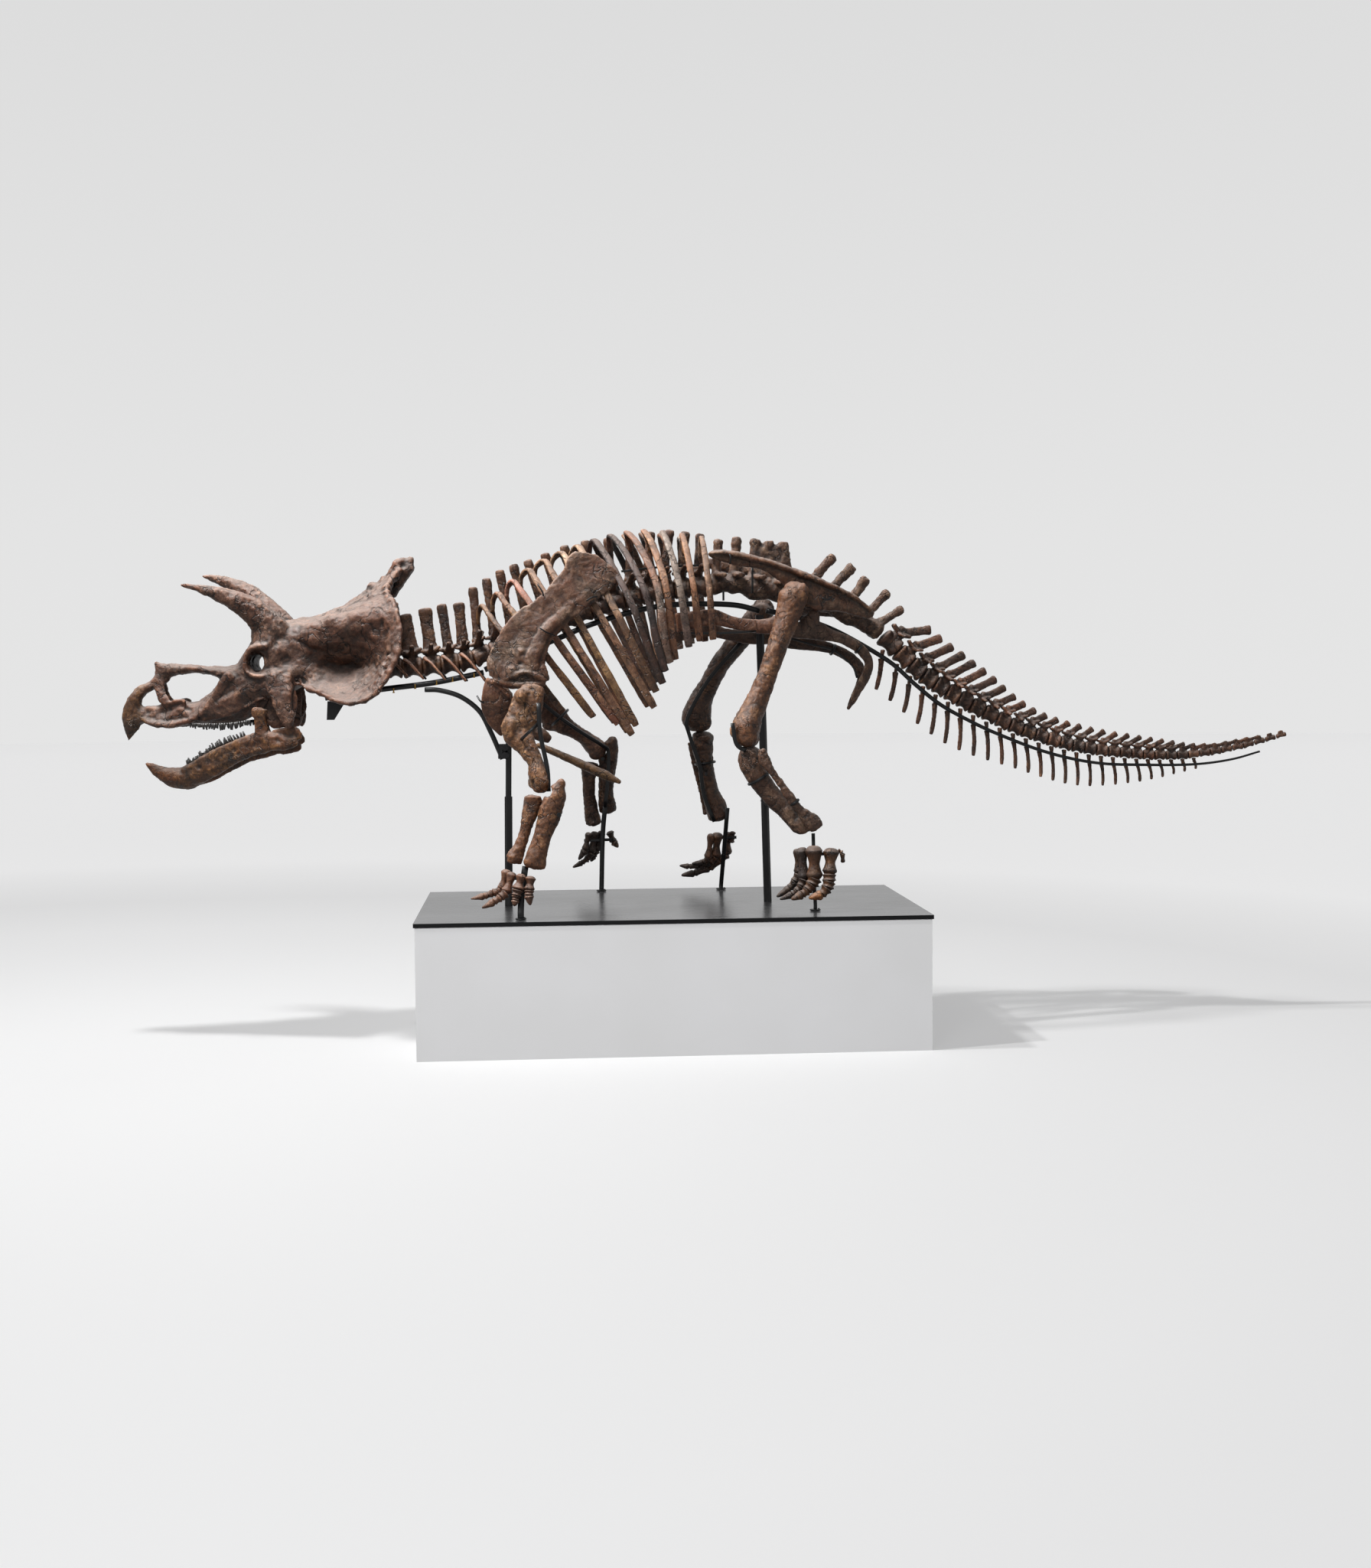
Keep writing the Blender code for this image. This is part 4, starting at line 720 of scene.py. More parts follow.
# %% Build the limb bones
limbs = []
for bone, tables in (*FORELIMB.items(), *HINDLIMB.items()):
    for side, label in SIDE_NAMES.items():
        parts = [lofted(tables[side], side, sides=20, steps=5)]
        parts += [ball(centre, radii, side) for centre, radii in KNOBS.get((bone, side), ())]
        body = fused(parts, THIN_SKIN if bone in THIN_BONES else THICK_SKIN, rounds=4)
        grooves = [ball(centre, radii, side) for centre, radii in GROOVES.get((bone, side), ())]
        if grooves:
            body = fused([cut_by(body, grooves)], THICK_SKIN, rounds=2)
        limbs.append(finish(weathered(body, 0.009, 0.005), bone + "_bone_" + label,
                            LIMB_LOOK.get((bone, side), "limb"), "limb_bone",
                            bone + "_" + label))
counted(limbs, "limb bones")

# %% [markdown]
# ## The line of the back
#
# Every vertebra sits on one curve from the skull to the hips. It bends as the column bends,
# so each vertebra is placed on it by how far along the body it is.

# %% The column's curve
COLUMN_LINE = mm([(-1235, 1410), (-1130, 1400), (-1010, 1392), (-875, 1397), (-740, 1418),
                  (-600, 1475), (-410, 1555), (-200, 1632), (0, 1678), (165, 1692)])
SPINE_TOPS = mm([(-720, 1697), (-611, 1765), (-494, 1805), (-338, 1862), (-156, 1885), (11, 1908),
                 (137, 1895)])


def along(line, share):
    """The point at a share from 0 to 1 of a curve that runs smoothly through the points."""
    steps = 16
    fine = smooth_rows(line, steps)
    place = min(max(share, 0.0), 1.0) * (len(fine) - 1)
    i = min(int(place), len(fine) - 2)
    return fine[i] + (fine[i + 1] - fine[i]) * (place - i)


def height_at(line, x):
    fine = smooth_rows(line, 12)
    return float(np.interp(x, fine[:, 0], fine[:, 1]))


column_steps = zip(COLUMN_LINE, COLUMN_LINE[1:])
print("column length", round(sum(math.dist(a, b) for a, b in column_steps), 2))

# %% [markdown]
# ## A vertebra
#
# A vertebra is a spool, the centrum, with an arch on it that once held the spinal cord. From
# the arch a blade stands up, the spine, and a strut runs out to each side to carry the rib.
# Small knobs before and behind lock it to its neighbours. The pieces are lofted one by one
# and then fused, and every vertebra of the column is made by the same helper with its own
# sizes, because no two are alike.

# %% Vertebra helper


def spool(start, end, half_wide, half_deep, waist=0.72):
    """A centrum: raised rims at both ends and a waist between them."""
    (x0, z0), (x1, z1) = start, end
    rows = []
    for share, size in ((0.0, 0.90), (0.06, 1.0), (0.16, 0.98), (0.34, waist + 0.06), (0.5, waist),
                        (0.66, waist + 0.06), (0.84, 0.98), (0.94, 1.0), (1.0, 0.90)):
        rows.append((x0 + (x1 - x0) * share, 0.0, z0 + (z1 - z0) * share,
                     half_wide * size, half_deep * size))
    return lofted(rows, sides=14, steps=1, dome=0.12)


def spine_blade(foot, top, half_thick, half_long, head=1.10, lean=0.0):
    """A neural spine: narrow at its root, wider and thick with a rough edge at its top."""
    (x0, z0), (x1, z1) = foot, top
    rows = []
    for share, thick, wide in ((0.0, 1.3, 1.25), (0.25, 0.95, 1.02), (0.55, 0.85, 0.96),
                               (0.80, 1.0, 1.0), (0.93, 1.35, head), (1.0, 1.2, head * 0.86)):
        bow = lean * math.sin(math.pi * share)
        rows.append((x0 + (x1 - x0) * share + bow, 0.0, z0 + (z1 - z0) * share,
                     half_thick * thick, half_long * wide))
    return lofted(rows, sides=12, steps=2, dome=0.3)


def process(start, end, root, tip, side, across=AXIS_X):
    """A strut of bone from start to end, flattened and knobbed at its outer end."""
    a, b = Vector(start), Vector(end)
    rows = [(*a, root, root * 0.75), (*a.lerp(b, 0.45), 0.7 * root, 0.5 * root),
            (*a.lerp(b, 0.85), tip, tip * 0.6), (*b, tip * 0.9, tip * 0.6)]
    return lofted(rows, side, sides=8, steps=2, across=across, dome=0.4)


def vertebra(start, end, size, top, spine_size, wings=(), knobs=True, voxel=THIN_SKIN):
    """Fuses a centrum between two joints with its arch, spine, side struts and knobs.

    size: half the centrum's width and depth; spine_size: half the spine's thickness and
    length; wings: (reach sideways, rise, sweep back, root, tip) for each pair of struts."""
    half_wide, half_deep = size
    (x0, z0), (x1, z1) = start, end
    xm, zm = 0.5 * (x0 + x1), 0.5 * (z0 + z1)
    length = math.hypot(x1 - x0, z1 - z0)
    ux, uz = (x1 - x0) / length, (z1 - z0) / length
    up_x, up_z = -uz, ux
    parts = [spool(start, end, half_wide, half_deep)]
    arch_x, arch_z = xm + up_x * half_deep * 1.25, zm + up_z * half_deep * 1.25
    parts.append(lofted([(xm + up_x * half_deep * 0.6, 0.0, zm + up_z * half_deep * 0.6,
                          0.55 * half_wide, 0.34 * length),
                         (arch_x, 0.0, arch_z, 0.46 * half_wide, 0.30 * length),
                         (xm + up_x * half_deep * 1.9, 0.0, zm + up_z * half_deep * 1.9,
                          0.36 * half_wide, 0.26 * length)], sides=10, steps=2))
    if top is not None:
        parts.append(spine_blade((arch_x, arch_z), top, *spine_size))
    if knobs:
        for ahead, rise in ((-0.52, 1.5), (0.52, 1.75)):
            for side in (LEFT, RIGHT):
                tip = (xm + ux * length * ahead + up_x * half_deep * rise, 0.42 * half_wide,
                       zm + uz * length * ahead + up_z * half_deep * rise)
                root = (arch_x, 0.3 * half_wide, arch_z, 0.3 * half_wide, 0.15 * length)
                parts.append(lofted([root, (*tip, 0.26 * half_wide, 0.10 * length)], side,
                                    sides=8, steps=2))
    for reach, rise, sweep, root, tip in wings:
        for side in (LEFT, RIGHT):
            parts.append(process((arch_x, 0.3 * half_wide, arch_z),
                                 (arch_x + sweep, reach, arch_z + rise), root, tip, side))
    return weathered(fused(parts, voxel, 1), 0.005, 0.0028)


# %% [markdown]
# ## Trunk vertebrae
#
# Fourteen of them carry the ribs. Their spines lean a little, thicken to blunt, rough tops and
# stand a finger apart, so that light shows between them.

# %% Build the trunk vertebrae
DORSAL_COUNT = 14
JOINT_GAP = 0.002
first_x, last_x = COLUMN_LINE[4][0] + 0.022, COLUMN_LINE[-1][0] - 0.004
pitch = (last_x - first_x) / DORSAL_COUNT
trunk = []
spine_feet = []
for i in range(DORSAL_COUNT):
    share = i / (DORSAL_COUNT - 1)
    x0, x1 = first_x + pitch * i + JOINT_GAP, first_x + pitch * (i + 1) - JOINT_GAP
    z0, z1 = height_at(COLUMN_LINE, x0), height_at(COLUMN_LINE, x1)
    radius = 0.036 + 0.004 * share
    top_x, top_z = along(SPINE_TOPS, share)
    xm, zm = 0.5 * (x0 + x1), 0.5 * (z0 + z1)
    spine_feet.append((xm, zm, (top_x - xm) / (top_z - zm)))
    wings = [(0.085, 0.050 - 0.020 * share, 0.012, 0.016, 0.011)]
    body = vertebra((x0, z0), (x1, z1), (radius, radius), (top_x, top_z - 0.006),
                    (0.0100, 0.0172), wings)
    trunk.append(finish(body, f"trunk_vertebra_{i + 1}", "spine" if i % 3 else "dark",
                        "spine_bone"))
counted(trunk, "trunk vertebrae")

# %% [markdown]
# ## Ribs
#
# A rib starts at the spine's root, rises over a shoulder and sweeps out and down over the
# flank. It is a flat strap, and its end is blunt, because cartilage carried on from there. The
# ribs of this animal came out of the ground in different colours, and that is worth
# keeping: it is the first thing that one notices about the rib cage.

# %% Rib stations
RIB_TOPS = mm([(-690, 1630), (-500, 1775), (-300, 1862), (-100, 1905), (137, 1880)])
RIB_BREADTHS = mm([(195,), (208,), (220,), (285,), (270,), (190,)])
RIB_ENDS = mm([(-395, 1233), (-278, 1207), (-187, 1179), (-135, 1140), (-121, 1173), (-53, 1239),
               (-47, 1298), (-24, 1328), (-14, 1373), (1, 1404), (21, 1415), (75, 1460),
               (117, 1482), (168, 1490)])
# The far ribs take darker tones than the near ones, mostly dark below: painted shade.
RIB_LOOKS = {LEFT: ["olive dark", "brown olive", "pink brown", "tan brown", "tan olive",
                    "cream brown", "cream dark", "pink brown", "pink purple", "brown grey",
                    "orange brown", "grey purple", "orange brown", "tan brown"],
             RIGHT: ["brown dark", "dark dark", "brown dark", "olive dark", "brown dark",
                     "dark dark", "purple dark", "brown dark", "dark dark", "tan brown",
                     "dark dark", "brown dark", "grey dark", "brown dark"]}
RIB_GIRTHS = [0.85, 1.0, 1.0, 1.05, 1.0, 1.05, 1.1, 1.1, 1.05, 1.1, 1.12, 1.05, 1.0, 0.95]
# Shares of the length and of the breadth, then half the width and half the thickness.
RIB_STATIONS = ((0.0, 0.05, 0.008, 0.006), (0.0, 0.14, 0.0085, 0.007),
                (0.02, 0.30, 0.0105, 0.0075), (0.10, 0.54, 0.0115, 0.007),
                (0.22, 0.72, 0.0120, 0.0065), (0.38, 0.90, 0.0118, 0.006),
                (0.55, 1.00, 0.0122, 0.0058), (0.78, 0.97, 0.0135, 0.0055),
                (0.95, 0.92, 0.0140, 0.0055), (1.0, 0.90, 0.0125, 0.005))


def rib_look(pair):
    """Two colours, upper and lower, that change over at about half the height of the cage."""
    if pair not in LOOKS:
        upper, lower = pair.split()
        LOOKS[pair] = fossil_bone("fossil_bone_" + pair.replace(" ", "_over_"),
                                  *BONE_LOOKS[upper], lower=BONE_LOOKS[lower])
    return pair


def rib_rows(index, spine):
    """One rib's rows: two at the spine's root, the others over the shoulder and down the flank."""
    x, z, lean = spine
    share = index / (DORSAL_COUNT - 1)
    top_x, top_z = along(RIB_TOPS, share)
    end_x, end_z = RIB_ENDS[index]
    length = math.hypot(end_x - top_x, end_z - top_z)
    back = 0.038 * math.exp(-((index - 8.7) / 1.9) ** 2)
    breadth, = along(RIB_BREADTHS, share)
    girth = RIB_GIRTHS[index]
    rows = []
    for t, out, wide, deep in RIB_STATIONS:
        bow = back * math.sin(math.pi * min(1.0, t * 1.1 + 0.05)) if t > 0.05 else 0.0
        px = top_x + (end_x - top_x) * t + bow * (top_z - end_z) / length
        pz = top_z + (end_z - top_z) * t + bow * (end_x - top_x) / length
        if not rows:
            pz = max(z + 0.05, top_z - 0.075)
            px = x + lean * (pz - z)
        elif len(rows) == 1:
            pz = top_z - 0.030
            px = 0.5 * (top_x + x + lean * (pz - z))
        rows.append((px, max(out * breadth, 0.011), pz, wide * girth, deep))
    return rows


# %% [markdown]
# ## Ribs, pair by pair
#
# A rib is a flat loft whose broad side faces outwards. A bevelled curve would be quicker, but
# it has the same section all along, and a rib narrows to its head and widens below. The pairs
# differ a little in girth and tone, as bones from one animal do.

# %% Build the ribs
ribs = []
for side, label in SIDE_NAMES.items():
    for i in range(DORSAL_COUNT):
        body = lofted(rib_rows(i, spine_feet[i]), side, sides=14, steps=6, across=AXIS_X,
                      square=0.85, dome=0.25)
        weathered(body, 0.005, 0.003)
        ribs.append(finish(body, f"rib_{label}_{i + 1}", rib_look(RIB_LOOKS[side][i]),
                           "limb_bone", "ribcage_" + label))
counted(ribs, "ribs")

# %% [markdown]
# ## Neck
#
# The first three vertebrae of a horned dinosaur are grown together into one bar that carries
# the heavy head. Behind it come separate vertebrae, each with a short pair of neck ribs.

# %% Build the neck
NECK_BAR = mm([(-1238, 0, 1408, 34, 34), (-1200, 0, 1408, 46, 45), (-1120, 0, 1400, 38, 38),
               (-1060, 0, 1393, 42, 42), (-1045, 0, 1393, 40, 40)])
NECK_BAR_SPINE = mm([(-1120, 0, 1420, 17, 58), (-1110, 0, 1500, 10, 52), (-1085, 0, 1555, 9, 42)])
neck = []
fused_bar = [lofted(NECK_BAR, sides=16), lofted(NECK_BAR_SPINE, sides=12)]
for x in (-1.16, -1.10):
    for side in (LEFT, RIGHT):
        fused_bar.append(process((x, 0.02, 1.42), (x + 0.03, 0.075, 1.40), 0.014, 0.010, side))
body = weathered(fused(fused_bar, 0.004, 2), 0.006, 0.003)
neck.append(finish(body, "neck_bar", "dark", "spine_bone", "neck"))
NECK_JOINTS = mm([(-1038, 1392), (-985, 1392), (-910, 1397), (-841, 1403), (-774, 1411),
                  (-719, 1424)])
NECK_TOPS = mm([(-1018, 1560), (-982, 1590), (-900, 1614), (-838, 1629), (-774, 1633)])
NECK_SPINE_HALVES = (0.0270, 0.0310, 0.0255, 0.0195, 0.0215)
for i in range(5):
    (x0, z0), (x1, z1) = NECK_JOINTS[i], NECK_JOINTS[i + 1]
    body = vertebra((x0 + JOINT_GAP, z0), (x1 - JOINT_GAP, z1), (0.037, 0.039), NECK_TOPS[i],
                    (0.0100, NECK_SPINE_HALVES[i]),
                    [(0.070, 0.030, 0.006, 0.014, 0.010)])
    neck.append(finish(body, f"neck_vertebra_{i + 1}", "dark", "spine_bone"))
    for side, label in SIDE_NAMES.items():
        rows = [(x0 + 0.010, 0.036, z0 + 0.030, 0.012, 0.008),
                (x0 + 0.034, 0.062, z0 + 0.012, 0.012, 0.006),
                (x0 + 0.056 + 0.004 * i, 0.070, z0 - 0.010 - 0.006 * i, 0.011, 0.005),
                (x0 + 0.074 + 0.006 * i, 0.074, z0 - 0.030 - 0.010 * i, 0.007, 0.004)]
        rib = weathered(lofted(rows, side, sides=8), 0.003, 0.002)
        neck.append(finish(rib, f"neck_rib_{label}_{i + 1}", "brown", "spine_bone"))
counted(neck, "neck")

# %% [markdown]
# ## Hips' vertebrae
#
# The sacrum is ten vertebrae grown into one bar between the hip bones. Its front spines stand
# alone, the middle ones are fused into one plate with a lumpy top, and the rear ones lean back.
# Bar, spines, plate and side struts are lofted apart and then share one skin, as the real ones
# grew together.

# %% Build the sacrum
SACRAL_BAR = mm([(166, 0, 1692, 38, 36), (190, 0, 1700, 42, 40), (225, 0, 1703, 32, 32),
                 (262, 0, 1704, 40, 40), (300, 0, 1698, 32, 36), (340, 0, 1690, 42, 50),
                 (400, 0, 1684, 34, 42), (460, 0, 1672, 40, 47), (520, 0, 1658, 32, 36),
                 (580, 0, 1640, 38, 42), (640, 0, 1616, 30, 34), (700, 0, 1585, 37, 40),
                 (756, 0, 1556, 30, 33), (812, 0, 1522, 37, 38)])
SACRAL_SPINES = mm([((195, 1715), (206, 1868), 18), ((262, 1720), (277, 1876), 19),
                    ((340, 1720), (348, 1868), 22), ((390, 1720), (398, 1862), 22),
                    ((440, 1710), (452, 1858), 22), ((535, 1680), (644, 1804), 20),
                    ((610, 1650), (718, 1766), 20), ((690, 1610), (772, 1718), 19),
                    ((750, 1570), (855, 1666), 18), ((796, 1540), (912, 1603), 17)])
SACRAL_PLATE = mm([(408, 0, 1690, 20, 78), (405, 0, 1770, 13, 80), (400, 0, 1838, 11, 72)])
SACRAL_STRUTS = mm([(200, 1735, 105), (270, 1735, 110), (350, 1725, 115), (430, 1705, 115),
                    (510, 1690, 110), (590, 1660, 100), (670, 1625, 90), (740, 1590, 80)])
sacral = [lofted(SACRAL_BAR, sides=16)]
sacral += [spine_blade(foot, top, 0.0120, half) for foot, top, half in SACRAL_SPINES]
sacral.append(lofted(SACRAL_PLATE, sides=16))
for x, z, reach in SACRAL_STRUTS:
    for side in (LEFT, RIGHT):
        sacral.append(process((x, 0.02, z), (x + 0.012, reach, z - 0.004), 0.020, 0.016, side))
body = weathered(fused(sacral, THICK_SKIN, 2), 0.013, 0.005)
finish(body, "sacrum_bar", "hip", "spine_bone", "sacrum")
print("sacrum:", len(body.data.polygons), "faces")

# %% [markdown]
# ## Tail
#
# Thirty-four vertebrae, each a little smaller than the one before it. The first twelve carry
# side struts, most carry a spine above, and below hangs a chevron, a small forked bone that
# sheltered the tail's artery. The chevrons are separate bones here and hang beside the rail.

# %% The tail's curve
TAIL_LINE = mm([(831, 1505), (990, 1352), (1165, 1242), (1370, 1142), (1580, 1075), (1790, 1044),
                (2000, 1034), (2210, 1060), (2422, 1112)])
SPINE_TIP_LINE = mm([(1018, 1524), (1232, 1366), (1427, 1213), (1652, 1140), (1888, 1099),
                     (2100, 1072), (2310, 1102)])
CHEVRON_TIP_LINE = mm([(808, 1298), (1074, 1090), (1349, 990), (1593, 922), (1840, 934),
                       (2060, 980)])
CAUDAL_COUNT, WINGED, SPINED, CHEVRONS = 34, 12, 31, 26


def tail_place(joint):
    x, z = along(TAIL_LINE, (max(joint, 0.0) / CAUDAL_COUNT) ** 0.86)
    return float(x), float(z)


# %% [markdown]
# ## Tail vertebrae and chevrons
#
# Size, spine and side processes shrink evenly towards the tip, so one loop builds them all. The
# voxels shrink as well, because the last vertebrae are no thicker than a finger.

# %% Build the tail
tail = []
chevrons = []
for i in range(CAUDAL_COUNT):
    share = i / (CAUDAL_COUNT - 1)
    (x0, z0), (x1, z1) = tail_place(i + 0.05), tail_place(i + 0.93)
    xm, zm = 0.5 * (x0 + x1), 0.5 * (z0 + z1)
    length = math.hypot(x1 - x0, z1 - z0)
    ux, uz = (x1 - x0) / length, (z1 - z0) / length
    deep = 0.040 - 0.031 * (i + 0.5) / CAUDAL_COUNT
    half = 0.0180 - 0.0120 * share
    top = along(SPINE_TIP_LINE, i / (SPINED - 1)) if i < SPINED else None
    wings = []
    if i < WINGED:
        reach = 0.100 * (1.0 - i / (WINGED + 2))
        wings = [(reach, -0.3 * deep, 0.006, 0.011, 0.009)]
    node_name = "tail_base" if i < 9 else "tail_middle" if i < 20 else "tail_end"
    body = vertebra((x0, z0), (x1, z1), (0.9 * deep, deep), top,
                    (0.0080 - 0.0050 * share, half), wings, knobs=i < 24,
                    voxel=0.0035 - 0.0012 * share)
    tail.append(finish(body, f"tail_vertebra_{i + 1}", ("spine", "brown", "spine", "dark")[i % 4],
                       "spine_bone", node_name))
    if i < CHEVRONS:
        tip_x, tip_z = along(CHEVRON_TIP_LINE, i / (CHEVRONS - 1))
        root_x, root_z = xm + uz * deep * 0.98, zm - ux * deep * 0.98
        blade_half = 0.0125 - 0.0070 * share
        parts = [spine_blade((root_x + (tip_x - root_x) * 0.22, root_z + (tip_z - root_z) * 0.22),
                             (tip_x, tip_z), 0.0042, blade_half * 0.80, head=0.85, lean=0.004)]
        fork = [(root_x, 0.40 * deep, root_z, 0.005, 0.007),
                (root_x + (tip_x - root_x) * 0.16, 0.22 * deep,
                 root_z + (tip_z - root_z) * 0.16, 0.0035, 0.006),
                (root_x + (tip_x - root_x) * 0.36, 0.0015,
                 root_z + (tip_z - root_z) * 0.36, 0.0035, 0.006)]
        parts += [lofted(fork, side, sides=8, steps=2) for side in (LEFT, RIGHT)]
        body = weathered(fused(parts, 0.0022, 1), 0.002, 0.0014)
        chevrons.append(finish(body, f"chevron_{i + 1}", ("brown", "spine", "dark")[i % 3],
                               "spine_bone", node_name))
counted(tail, "tail vertebrae")
counted(chevrons, "chevrons")

# %% [markdown]
# ## Shoulder blades
#
# The scapula is a long flat blade that widens at both ends. A ridge runs up its outer face and
# a thick rim along its front edge, with a rough hollow between them where muscle held on. Its
# lower end carries half of the shoulder's socket. The two edges are read off row by row, and
# the ridge, the rims and the hollow are laid on as soft lofts.

# %% Build the shoulder blades
SCAPULA = mm([(-339, 1814, -262, 1802, 214, 4), (-365, 1793, -200, 1755, 215, 7),
              (-382, 1750, -180, 1716, 216, 9), (-417, 1714, -212, 1672, 217, 10),
              (-447, 1672, -270, 1626, 219, 11), (-495, 1632, -342, 1573, 223, 12),
              (-553, 1595, -396, 1521, 228, 12), (-605, 1540, -428, 1487, 234, 12),
              (-640, 1480, -444, 1450, 240, 13), (-660, 1435, -450, 1402, 244, 14),
              (-668, 1399, -440, 1360, 247, 16), (-655, 1366, -448, 1340, 249, 17),
              (-620, 1340, -530, 1352, 249, 14)])
SCAPULA_RIDGES = mm([
    [(-289, 222, 1664, 7, 12), (-345, 226, 1622, 9, 18), (-395, 233, 1575, 10, 22),
     (-437, 240, 1535, 12, 22), (-470, 247, 1490, 12, 24), (-492, 252, 1440, 13, 28),
     (-505, 255, 1395, 14, 32), (-515, 257, 1360, 13, 34)],
    [(-655, 250, 1368, 6, 7), (-612, 254, 1346, 9, 9), (-575, 258, 1356, 11, 9),
     (-535, 262, 1372, 13, 10), (-492, 262, 1364, 12, 10), (-456, 256, 1340, 8, 8)],
    [(-640, 250, 1344, 12, 14), (-590, 250, 1330, 16, 16), (-540, 250, 1326, 18, 17),
     (-490, 250, 1326, 17, 17), (-458, 250, 1334, 12, 13)]])
SCAPULA_MARKS = mm([(-600, 260, 1440, 45, -10), (-560, 255, 1520, 40, -8),
                    (-480, 240, 1600, 30, -6), (-300, 230, 1740, 45, -7), (-575, 265, 1385, 14, 8),
                    (-610, 262, 1480, 12, 8), (-540, 260, 1450, 10, 9), (-590, 262, 1420, 9, -10),
                    (-560, 262, 1480, 9, -10), (-545, 262, 1405, 9, -10)])
FAR_LOOK = "dark"


def paired(name, side, look, body):
    """Finishes one bone of a pair. The far one takes the dark look, as it stands in shade."""
    label = SIDE_NAMES[side]
    return finish(body, f"{name}_bone_{label}", look if side == LEFT else FAR_LOOK, "limb_bone",
                  f"{name}_{label}")


PLATE_SKIN = 0.0042
girdles = []
for side in (LEFT, RIGHT):
    parts = [blade(SCAPULA, side)]
    parts += [lofted(rows, side, sides=10, steps=3) for rows in SCAPULA_RIDGES]
    body = brushed(fused(parts, PLATE_SKIN, 2), SCAPULA_MARKS, (side,))
    girdles.append(paired("scapula", side, "blade", weathered(body, 0.010, 0.003)))
print(len(girdles), "shoulder blades")

# %% [markdown]
# The coracoid closes the shoulder's socket below. It is a rounded plate with one small hole
# for a nerve, thickest where it meets the scapula. The breast bones are two flat bars.

# %% Build the coracoids and breast bones
CORACOID = mm([(-668, 1350, -640, 1350, 236, 6), (-678, 1322, -598, 1310, 236, 11),
               (-686, 1288, -578, 1284, 234, 12), (-689, 1259, -580, 1247, 230, 11),
               (-683, 1225, -595, 1219, 223, 10), (-666, 1190, -606, 1181, 214, 9),
               (-640, 1158, -610, 1149, 206, 7), (-622, 1141, -612, 1138, 202, 4)])
CORACOID_RIM = mm([(-664, 240, 1348, 7, 7), (-618, 243, 1318, 11, 10), (-586, 243, 1286, 10, 10)])
NERVE_HOLE = mm([(-618, 190, 1283, 6, 8), (-618, 270, 1283, 6, 8)])
for side in (LEFT, RIGHT):
    body = fused([blade(CORACOID, side), lofted(CORACOID_RIM, side, sides=10)], PLATE_SKIN, 2)
    hole = lofted(NERVE_HOLE, side, sides=12, across=AXIS_X, steps=1, dome=0)
    body = weathered(cut_by(body, [hole]), 0.006, 0.003)
    girdles.append(paired("coracoid", side, "brown", body))
STERNUM = mm({
    LEFT: [(-488, 28, 1100, 10, 7), (-470, 30, 1094, 16, 11), (-390, 40, 1058, 20, 15),
           (-300, 48, 1016, 20, 17), (-235, 53, 986, 18, 18), (-198, 56, 968, 13, 12),
           (-178, 58, 958, 9, 8)],
    RIGHT: [(-640, 60, 1205, 10, 12), (-560, 52, 1175, 18, 22), (-480, 46, 1140, 18, 27),
            (-440, 42, 1118, 10, 16)]})
for side in (LEFT, RIGHT):
    body = weathered(fused([lofted(STERNUM[side], side, sides=16)], THIN_SKIN, 2), 0.005, 0.0025)
    girdles.append(paired("sternum", side, "olive", body))
counted(girdles, "shoulder bones")

# %% [markdown]
# ## Hip bones
#
# Three bones a side meet around the hip's socket. The ilium is a long shelf above it whose
# upper edge is rolled outwards. The pubis reaches forwards as a flat blade and the ischium
# curves down and back behind the thigh, and a black rod keeps each in its place.

# %% Build the hip bones
ILIUM = mm([(150, 1806, 155, 1795, 172, 6), (172, 1818, 186, 1780, 172, 13),
            (215, 1819, 232, 1768, 171, 18), (269, 1808, 272, 1757, 168, 20),
            (332, 1795, 330, 1752, 165, 22), (395, 1777, 385, 1728, 162, 24),
            (453, 1759, 430, 1690, 158, 26), (510, 1738, 480, 1640, 153, 28),
            (565, 1714, 545, 1600, 147, 28), (618, 1692, 610, 1590, 142, 26),
            (668, 1668, 665, 1588, 136, 22), (718, 1640, 711, 1574, 130, 18),
            (760, 1608, 750, 1564, 125, 13), (781, 1584, 776, 1570, 122, 7)])
SHELF = mm([(160, 178, 1806, 12, 6), (215, 186, 1806, 22, 11), (300, 186, 1790, 26, 12),
            (395, 182, 1764, 28, 12), (500, 175, 1727, 28, 12), (600, 165, 1688, 26, 11),
            (690, 150, 1648, 20, 10), (765, 135, 1594, 12, 8)])
SOCKET_RIM = mm([(505, 150, 1622, 16, 14), (545, 156, 1606, 18, 12), (590, 152, 1606, 14, 12)])
PUBIS = mm([(30, 1588, 36, 1512, 150, 5), (85, 1594, 90, 1526, 150, 7),
            (175, 1602, 180, 1541, 149, 8), (240, 1576, 240, 1528, 146, 10),
            (315, 1564, 315, 1514, 142, 13), (375, 1566, 372, 1508, 140, 18),
            (430, 1588, 420, 1510, 137, 24), (462, 1586, 452, 1516, 135, 20)])
ISCHIUM = mm([(466, 136, 1520, 15, 26), (510, 134, 1522, 18, 34), (560, 131, 1520, 18, 36),
              (606, 126, 1504, 15, 26), (655, 118, 1491, 14, 21), (712, 106, 1464, 13, 21),
              (752, 94, 1428, 12, 20), (766, 84, 1392, 12, 17), (756, 68, 1346, 11, 18),
              (731, 54, 1300, 10, 16), (706, 46, 1257, 6, 7)])
ISCHIUM_NECK = mm([(545, 135, 1590, 16, 20), (546, 135, 1568, 20, 27), (530, 134, 1540, 18, 40)])
FAR_HIP_DROP = -0.034
hips = []
